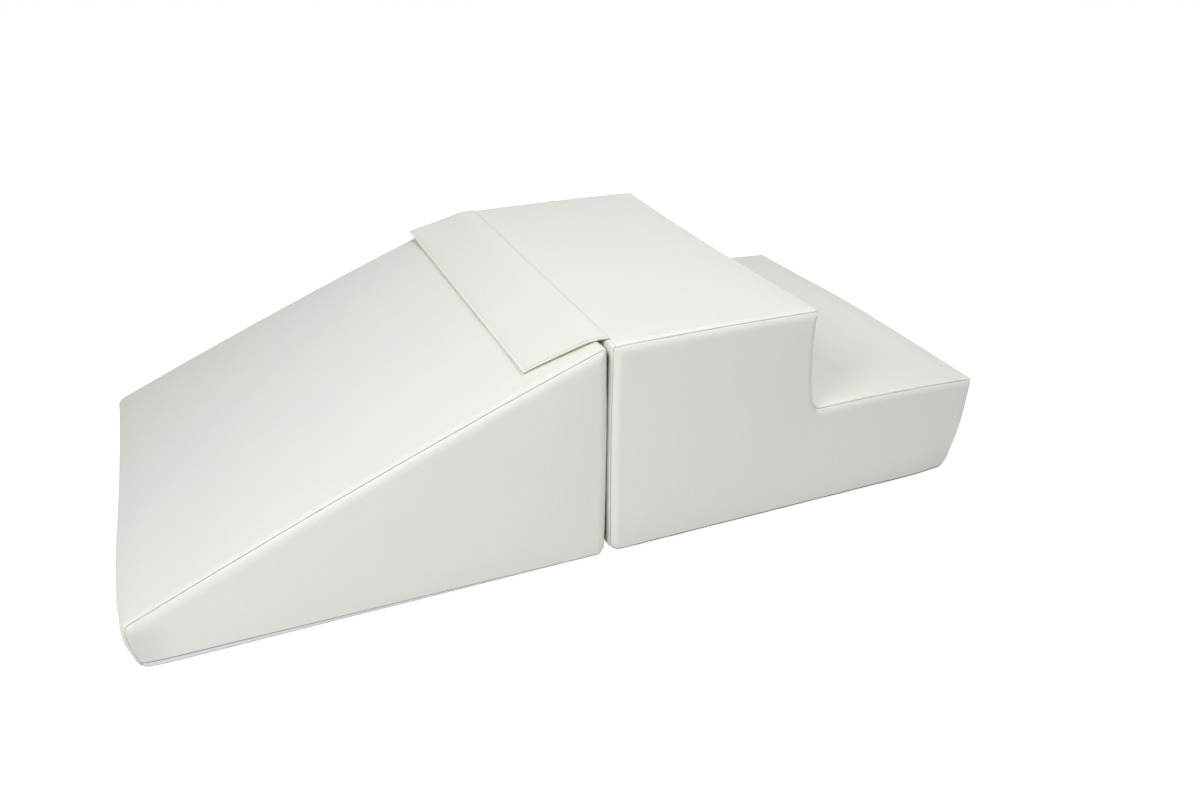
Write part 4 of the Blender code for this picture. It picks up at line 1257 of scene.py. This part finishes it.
class Ramp:
    """Places on the slide's ramp, by distance down from the ridge, width and height over the vinyl."""

    def __init__(self, block):
        insets = [(0.0, 0.0)] * len(block.edges)
        self.top = block.corner_arc(RIDGE, insets)[-1]
        self.bottom = block.corner_arc(TOE_TOP, insets)[0]
        self.length = (self.bottom - self.top).length
        self.down = (self.bottom - self.top).normalized()
        self.normal = outward(self.down)

    def point(self, distance, y, lift):
        share = distance / self.length
        width_share = min(abs(y) / FLAT_HALF_WIDTH, 1.0)
        crown = RAMP_CROWN_AT_SEAM + (RAMP_CROWN - RAMP_CROWN_AT_SEAM) * (1 - width_share ** 2)
        height = crown * 4 * share * (1 - share) + lift
        spot = self.top + self.down * distance + self.normal * height
        return Vector((spot.x, y, spot.y))


FLAP_HALF_STACK = FLAP_SKIN + FIT_GAP / 2
LOOP_LIFT = FIT_GAP
HOOK_LIFT = LOOP_LIFT + TAPE_THICKNESS + FIT_GAP
LINING_LIFT = HOOK_LIFT + TAPE_THICKNESS + FIT_GAP
FLAP_LIFT = LINING_LIFT + FLAP_HALF_STACK
FLAP_ROOT_NEAR = -BLOCK_WIDTH / 2 + FLAP_NEAR_INSET
FLAP_ROOT_FAR = BLOCK_WIDTH / 2 - FLAP_FAR_INSET
FLAP_WIDTH = FLAP_ROOT_FAR - FLAP_ROOT_NEAR


def hinge_place(step):
    """The flap's hinge line, just over the seam at the top edge of the step block."""
    seam = step.corner_arc(FLAP_SEAM, [(0.0, 0.0)] * len(step.edges))[0]
    return Vector((seam.x, 0, seam.y + FIT_GAP + FLAP_HALF_STACK))


def spaced(length, rims):
    """Stations from 0 to length: close together at the rims, then one for each step of the mesh."""
    inner = rims[-1]
    count = max(1, round((length - 2 * inner) / FACE_STEP))
    middle = [inner + (length - 2 * inner) * step / count for step in range(1, count)]
    return [*rims, *middle, *(length - rim for rim in reversed(rims))]


def flap_bend(ramp, root):
    """The flap's bend, from its seam over the ridge to where it lands on the ramp."""
    landing = ramp.point(FLAP_BEND_REACH, root.y, FLAP_LIFT)
    pull = Vector((-ramp.down.x, 0, -ramp.down.y)) * FLAP_BEND_PULL
    controls = (root, root - Vector((FLAP_ROOT_PULL, 0, 0)), landing + pull, landing)
    points = []
    shares = [*BEND_START_SHARES, *((step + 1) / (BEND_STEPS + 1) for step in range(1, BEND_STEPS))]
    for share in shares:
        rest = 1 - share
        weights = (rest ** 3, 3 * share * rest ** 2, 3 * share * share * rest, share ** 3)
        steps = [control * weight for control, weight in zip(controls, weights)]
        points.append(sum(steps, Vector((0, 0, 0))))
    return points


def flap_lift(distance, y, y_share):
    """Height of the flap's middle over the ramp: its free edge waves a little and its far end curls."""
    tape_end = TAPE_FROM_RIDGE + TAPE_WIDTH
    free = max(0.0, (distance - tape_end) / (FLAP_REACH - tape_end))
    curl_share = max(0.0, (y_share - CURL_START_SHARE) / (1 - CURL_START_SHARE))
    place = Vector((y / FLAP_WAVE_PITCH, FLAP_WAVE_ROW, distance / FLAP_WAVE_PITCH))
    wave = max(0.0, FLAP_WAVE * (0.5 + noise.noise(place)))
    curl = FLAP_CURL * curl_share ** 2 * (distance / FLAP_REACH) ** 2
    return FLAP_LIFT + curl + (wave - FLAP_TIP_SAG) * free


def flap_line(ramp, hinge, y_share):
    """Middle line of the flap from its seam to its free edge, at one share of its width."""
    y = FLAP_ROOT_NEAR + FLAP_WIDTH * y_share
    root = Vector((hinge.x, y, hinge.z))
    points = flap_bend(ramp, root)
    reach = FLAP_REACH - FLAP_BEND_REACH - FLAP_RIM_DISTANCES[-1]
    count = round(reach / FACE_STEP)
    distances = [FLAP_BEND_REACH + reach * step / count for step in range(count)]
    distances += [FLAP_REACH - rim for rim in reversed(FLAP_RIM_DISTANCES)]
    points += [ramp.point(distance, y, flap_lift(distance, y, y_share)) for distance in distances]
    for point in points:
        away = math.hypot(point.x - root.x, point.z - root.z) / (FLAP_REACH + root.x - ramp.top.x)
        point.y += FLAP_SKEW * away
    return points


def closed_sheet(name, outer, inner, marks=()):
    """A mesh between two grids of one size, closed round the rim. Marks are given for the outer grid."""
    rows, columns = outer.shape[:2]
    total = rows * columns
    faces = grid_faces(rows, columns)
    faces += [tuple(total + index for index in face) for face in grid_faces(rows, columns)]
    rim = list(range(columns))
    rim += [row * columns + columns - 1 for row in range(1, rows)]
    rim += [(rows - 1) * columns + column for column in range(columns - 2, -1, -1)]
    rim += [row * columns for row in range(rows - 2, 0, -1)]
    for low, high in zip(rim, rim[1:] + rim[:1]):
        faces.append((low, high, total + high, total + low))
    verts = np.concatenate([outer.reshape(-1, 3), inner.reshape(-1, 3)])
    doubled = [(key, np.concatenate([np.ravel(values), np.ravel(values)])) for key, values in marks]
    return new_mesh(name, verts, faces, doubled)


class Flap:
    """The flap's middle surface, and how far each of its points lies from its edges."""

    def __init__(self, ramp, hinge):
        shares = [y / FLAP_WIDTH for y in spaced(FLAP_WIDTH, FLAP_RIM_DISTANCES)]
        lines = [flap_line(ramp, hinge, share) for share in shares]
        self.grid = np.array([[tuple(point) for point in line] for line in lines])
        self.normals = grid_normals(self.grid)
        if self.normals[:, :, 2].sum() < 0:
            self.normals = -self.normals
        self.across = from_ends(run_lengths(self.grid[:, -1]))
        self.along = run_lengths(self.grid[len(self.grid) // 2])
        self.rim = np.minimum.outer(self.across, self.along[-1] - self.along)
        self.grid[:, :, 2] -= lip_depths(self.along)

    def layer_mesh(self, name, side):
        """One skin: its outer face rounds off at the edges and dips under the stitches."""
        share = np.clip(self.rim / FLAP_SKIN, 0, 1)
        thick = FLAP_SKIN * np.maximum(np.sqrt(1 - (1 - share) ** 2), FLAP_RIM_THINNEST)
        thick -= GROOVE_DEPTH * np.exp(-((self.rim - TOPSTITCH_INSET) / GROOVE_HALF_WIDTH) ** 2)
        inner = self.grid + self.normals * (side * FIT_GAP / 2)
        outer = inner + self.normals * (side * thick)[..., None]
        tightness = np.interp(np.linspace(0, 1, len(self.across)), FLAP_SEAM_PLACES, FLAP_SEAM_SPREAD)
        seam = np.outer(tightness, self.along)
        half = len(self.across) // 2
        ends = TOPSTITCH_END_CREASE + TOPSTITCH_END_SPREAD * np.abs(self.across - TOPSTITCH_INSET)
        ends[:half] *= TOPSTITCH_END_SPREAD
        tip = TOPSTITCH_TIP_CREASE + np.abs(self.along[-1] - self.along - TOPSTITCH_INSET)
        topstitch = np.minimum.outer(ends, tip)
        # The lining is marked for the painted shadow under the flap.
        marks = [("seam", np.minimum(seam, topstitch)), ("flap_shadow", np.full(self.rim.shape, max(0, -side)))]
        return closed_sheet(name, outer, inner, marks)

    def topstitch_line(self, side):
        """The line of the stitches along the near end, the free edge and the far end."""
        half = len(self.across) // 2
        row = int(np.argmin(np.abs(self.across[:half] - TOPSTITCH_INSET)))
        column = int(np.argmin(np.abs(self.along[-1] - self.along - TOPSTITCH_INSET)))
        far = len(self.grid) - 1 - row
        places = [(row, index) for index in range(TOPSTITCH_START, column)]
        places += [(index, column) for index in range(row, far)]
        places += [(far, index) for index in range(column, TOPSTITCH_START - 1, -1)]
        normals = np.array([self.normals[place] for place in places]) * side
        height = FIT_GAP / 2 + FLAP_SKIN - GROOVE_DEPTH
        return np.array([self.grid[place] for place in places]) + normals * height, normals


def tape_mesh(name, ramp, lift, side):
    """Hook or loop tape: a field of pile between flat woven edges. Side is 1 where the pile looks up."""
    near = FLAP_ROOT_NEAR + TAPE_END_INSET
    distances = np.array(spaced(TAPE_WIDTH, TAPE_RIM_DISTANCES))
    widths = spaced(FLAP_WIDTH - 2 * TAPE_END_INSET, TAPE_END_DISTANCES)
    raised = np.clip((from_ends(distances) - TAPE_SELVEDGE) / PILE_RISE, 0, 1)
    thick = TAPE_SELVEDGE_THICKNESS + (TAPE_THICKNESS - TAPE_SELVEDGE_THICKNESS) * raised
    back = lift if side > 0 else lift + TAPE_THICKNESS
    face = []
    under = []
    for y in widths:
        spots = [(TAPE_FROM_RIDGE + distance, near + y) for distance in distances]
        face.append([tuple(ramp.point(*spot, back + side * depth)) for spot, depth in zip(spots, thick)])
        under.append([tuple(ramp.point(*spot, back)) for spot in spots])
    pile = np.broadcast_to(raised, (len(widths), len(distances)))
    return closed_sheet(name, np.array(face), np.array(under), [("pile", pile)])


def tape_stitch_lines(ramp, lift, side):
    """Stitches along both selvedges of a tape."""
    near = FLAP_ROOT_NEAR + TAPE_END_INSET
    spots = [near + y for y in spaced(FLAP_WIDTH - 2 * TAPE_END_INSET, (0.0,))]
    back = lift if side > 0 else lift + TAPE_THICKNESS
    height = back + side * TAPE_SELVEDGE_THICKNESS
    up = Vector((ramp.normal.x, 0, ramp.normal.y)) * side
    lines = []
    for distance in (TAPE_STITCH_INSET, TAPE_WIDTH - TAPE_STITCH_INSET):
        line = [tuple(ramp.point(TAPE_FROM_RIDGE + distance, y, height)) for y in spots]
        lines.append((line, [tuple(up)] * len(line)))
    return lines


def make_tapes(ramp):
    loop = new_piece("slide_loop_tape_pile", tape_mesh("loop_tape", ramp, LOOP_LIFT, 1), LOOPS)
    fit(loop, "slide_block", "hook_and_loop", "slide_loop_tape")
    hook = new_piece("flap_hook_tape_pile", tape_mesh("hook_tape", ramp, HOOK_LIFT, -1), HOOKS)
    fit(hook, "flap", "hook_and_loop", "flap_hook_tape")
    rows = (("slide_loop", LOOP_LIFT, 1, "slide_block"), ("flap_hook", HOOK_LIFT, -1, "flap"))
    for name, lift, side, body in rows:
        mesh = stitching_mesh(name, tape_stitch_lines(ramp, lift, side))
        stitches = new_piece(f"{name}_tape_stitching", mesh, THREAD)
        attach(stitches, body)


def make_flap(ramp, step):
    hinge = hinge_place(step)
    flap = Flap(ramp, hinge)
    skins = (("flap_top_skin", 1, "flap_lining_cover"), ("flap_lining", -1, "slide_loop_tape_pile"))
    for name, side, under in skins:
        skin = new_piece(f"{name}_cover", flap.layer_mesh(name, side), VINYL)
        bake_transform(skin)
        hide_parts(name)
    rows = stitching_mesh("flap_topstitch", [flap.topstitch_line(1), flap.topstitch_line(-1)])
    stitches = new_piece("flap_topstitching", rows, THREAD)
    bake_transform(stitches)


def make_zip_tape(name, body):
    """A woven tape, thinner along its edges and a little wavy."""
    low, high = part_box(name)
    count = round((high.x - low.x) / FACE_STEP)
    upper = []
    lower = []
    for step in range(count + 1):
        x = low.x + (high.x - low.x) * step / count
        top = []
        bottom = []
        for share in ZIP_TAPE_SHARES:
            y = low.y + (high.y - low.y) * share
            wave = noise.noise(Vector((x * ZIP_TAPE_WAVES, y * ZIP_TAPE_WAVES, 1.0)))
            middle = (low.z + high.z) / 2 + ZIP_TAPE_WAVE * wave
            rim_share = ZIP_TAPE_RIM_SHARE if share in (0.0, 1.0) else 1.0
            half = (high.z - low.z) / 2 * rim_share - ZIP_TAPE_WAVE
            top.append((x, y, middle + half))
            bottom.append((x, y, middle - half))
        upper.append(top)
        lower.append(bottom)
    mesh = closed_sheet(name, np.array(upper), np.array(lower))
    tape = new_piece(f"{name}_weave", mesh, ZIP_WEAVE)
    fit(tape, body, "zip_cloth", name)


def make_zip_coil(name, body):
    """The coil of one half of the zip: a nylon wire wound flat along the tape."""
    low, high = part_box(name)
    turns = int((high.x - low.x - 2 * COIL_WIRE) / COIL_PITCH)
    middle = (low + high) / 2
    half_y = (high.y - low.y) / 2 - COIL_WIRE
    half_z = (high.z - low.z) / 2 - COIL_WIRE
    start = middle.x - turns * COIL_PITCH / 2
    path = []
    for step in range(turns * COIL_POINTS + 1):
        angle = math.tau * step / COIL_POINTS
        x = start + COIL_PITCH * step / COIL_POINTS
        path.append(Vector((x, middle.y + half_y * math.cos(angle), middle.z + half_z * math.sin(angle))))
    verts = []
    for index, spot in enumerate(path):
        along = (path[min(index + 1, len(path) - 1)] - path[max(index - 1, 0)]).normalized()
        out = Vector((0, spot.y - middle.y, spot.z - middle.z)).normalized()
        out = (out - along * out.dot(along)).normalized()
        across = along.cross(out)
        for number in range(THREAD_SIDES):
            angle = math.tau * number / THREAD_SIDES
            verts.append(spot + (out * math.cos(angle) + across * math.sin(angle)) * COIL_WIRE)
    faces = grid_faces(len(path), THREAD_SIDES, closed=True)
    faces += [tuple(range(THREAD_SIDES)), tuple(range(len(verts) - THREAD_SIDES, len(verts)))]
    coil = new_piece(f"{name}_winding", new_mesh(name, verts, faces), NYLON)
    fit(coil, body, "zip_nylon", name)


def soften_edges(node, width):
    """Small rounded edges and the nylon finish on a moulded piece of the zip."""
    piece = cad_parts[node]
    for place in piece.material_slots:
        place.material = NYLON
    bevel = piece.modifiers.new("edges", "BEVEL")
    bevel.width = width
    bevel.segments = 2
    bevel.limit_method = "ANGLE"


def make_zip(prefix, block, body):
    for word in ("near", "far"):
        make_zip_tape(f"{prefix}_zip_tape_{word}", body)
        make_zip_coil(f"{prefix}_zip_coil_{word}", body)
    for node in ("bottom_stop", "top_stop_near", "top_stop_far"):
        soften_edges(f"{prefix}_zip_{node}", STOP_EDGE)
    soften_edges(f"{prefix}_zip_slider", SLIDER_EDGE)
    lines = []
    for side in (-1, 1):
        y = side * (HEM_EDGE + HEM_STITCH_INSET)
        line = [(x, y, HEM_LIFT) for x in np.arange(block.window_start, block.window_end, FACE_STEP)]
        lines.append((line, [(0, 0, -1)] * len(line)))
    rows = new_piece(f"{prefix}_zip_stitching", stitching_mesh("hem_stitches", lines), THREAD)
    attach(rows, body)


def make_block(prefix, block, drape, body):
    """What both blocks have: the foam, the side panels, the base panel's halves and the zip."""
    make_core(f"{prefix}_foam_core", block, body)
    for side, word in ((-1, "near"), (1, "far")):
        make_side_panel(f"{prefix}_side_panel_{word}", block, side, drape, body)
        make_base_half(f"{prefix}_base_panel_{word}", block, side, body)
    make_zip(prefix, block, body)


def make_climber():
    slide = slide_outline()
    step = step_outline()
    slide_drape = settle_cover("slide_shell", slide)
    step_drape = settle_cover("step_shell", step)
    base_start, base_end = BASE_SEAMS
    flap_seam = (FLAP_SEAM, 0)
    make_block("slide", slide, slide_drape, "slide_block")
    ramp = Ramp(slide)
    panel = ("slide_ramp_panel", slide, base_end, base_start, slide_drape, "slide_block")
    make_wrapped_panel(*panel, [TOE_SWELL], ramp)
    make_block("step", step, step_drape, "step_block")
    panel = ("step_top_panel", step, base_end, flap_seam, step_drape, "step_block")
    make_wrapped_panel(*panel, [FRONT_SWELL, TOP_EDGE_SWELL])
    make_wrapped_panel("step_back_panel", step, flap_seam, base_start, step_drape, "step_block")
    make_tapes(ramp)
    make_flap(ramp, step)


# Studio
CAMERA_PLACE = (-0.434, -1.2607, 0.7875)
CAMERA_TURN = (62.18, -0.51, -23.239)
CAMERA_LENS = 29.63
CAMERA_SENSOR = 36.0
WORLD_LIGHT = 0.19
FLOOR_HALF = 6.0
FLOOR_GLOW = 0.86
WORLD_GLOSS = 0.4
LAMP_AIM = Vector((0, 0, 0.1))
LAMPS = (
    ("key_lamp", (-1.0, -0.80, 1.36), 0.8, 12.9),
    ("overhead_lamp", (0.5, 0.2, 1.9), 1.2, 12.0),
    ("front_lamp_left", (-0.7, -1.5, 1.3), 1.0, 3.3),
    ("front_lamp_right", (0.5, -1.6, 1.2), 1.0, 3.2),
    ("right_lamp", (1.2, -0.1, 1.5), 0.8, 3.2),
)


def make_floor():
    """A pale floor that shows white, and keeps the climber's shadow."""
    mesh = bpy.data.meshes.new("floor")
    corners = [(-FLOOR_HALF, -FLOOR_HALF, 0), (FLOOR_HALF, -FLOOR_HALF, 0)]
    corners += [(FLOOR_HALF, FLOOR_HALF, 0), (-FLOOR_HALF, FLOOR_HALF, 0)]
    mesh.from_pydata(corners, [], [(0, 1, 2, 3)])
    material, nodes = new_finish("studio_floor")
    path = nodes.add("ShaderNodeLightPath", {}, {})
    seen = Wire(nodes, path.outputs["Is Camera Ray"]).larger(Wire(nodes, path.outputs["Is Glossy Ray"]))
    seen = seen.larger(Wire(nodes, path.outputs["Is Transmission Ray"]))
    matte = nodes.add("ShaderNodeBsdfDiffuse", {}, {"Color": (*FLOOR_WHITE, 1.0)})
    glow = nodes.add("ShaderNodeEmission", {}, {"Color": (1.0, 1.0, 1.0, 1.0), "Strength": FLOOR_GLOW})
    lit = nodes.add("ShaderNodeAddShader", {}, {0: matte.outputs[0], 1: glow.outputs[0]})
    mix = nodes.add("ShaderNodeMixShader", {}, {0: seen, 1: matte.outputs[0], 2: lit.outputs[0]})
    nodes.add("ShaderNodeOutputMaterial", {}, {"Surface": mix.outputs[0]})
    mesh.materials.append(material)
    floor = bpy.data.objects.new("studio_floor", mesh)
    bpy.context.scene.collection.objects.link(floor)


def light_world():
    world = bpy.data.worlds.new("studio")
    world.use_nodes = True
    bpy.context.scene.world = world
    nodes = Nodes(world.node_tree)
    path = nodes.add("ShaderNodeLightPath", {}, {})
    seen = Wire(nodes, path.outputs["Is Camera Ray"])
    seen = seen.larger(Wire(nodes, path.outputs["Is Transmission Ray"]))
    seen = seen.larger(Wire(nodes, path.outputs["Is Glossy Ray"]) * WORLD_GLOSS)
    soft = nodes.add("ShaderNodeBackground", {}, {"Color": (1.0, 1.0, 1.0, 1.0), "Strength": WORLD_LIGHT})
    white = nodes.add("ShaderNodeBackground", {}, {"Color": (1.0, 1.0, 1.0, 1.0), "Strength": 1.0})
    mix = nodes.add("ShaderNodeMixShader", {}, {0: seen, 1: soft.outputs[0], 2: white.outputs[0]})
    nodes.add("ShaderNodeOutputWorld", {}, {"Surface": mix.outputs[0]})


def make_lamps():
    for name, place, size, power in LAMPS:
        lamp = bpy.data.lights.new(name, "AREA")
        lamp.shape = "DISK"
        lamp.size = size
        lamp.energy = power
        holder = bpy.data.objects.new(name, lamp)
        bpy.context.scene.collection.objects.link(holder)
        holder.location = place
        holder.rotation_euler = (LAMP_AIM - Vector(place)).to_track_quat("-Z", "Y").to_euler()


def make_camera():
    camera = bpy.data.cameras.new("camera")
    camera.lens = CAMERA_LENS
    camera.sensor_fit = "HORIZONTAL"
    camera.sensor_width = CAMERA_SENSOR
    holder = bpy.data.objects.new("camera", camera)
    bpy.context.scene.collection.objects.link(holder)
    holder.location = CAMERA_PLACE
    holder.rotation_euler = [math.radians(turn) for turn in CAMERA_TURN]
    bpy.context.scene.camera = holder


make_climber()
make_floor()
light_world()
make_lamps()
make_camera()
bpy.context.scene.view_settings.view_transform = "Standard"
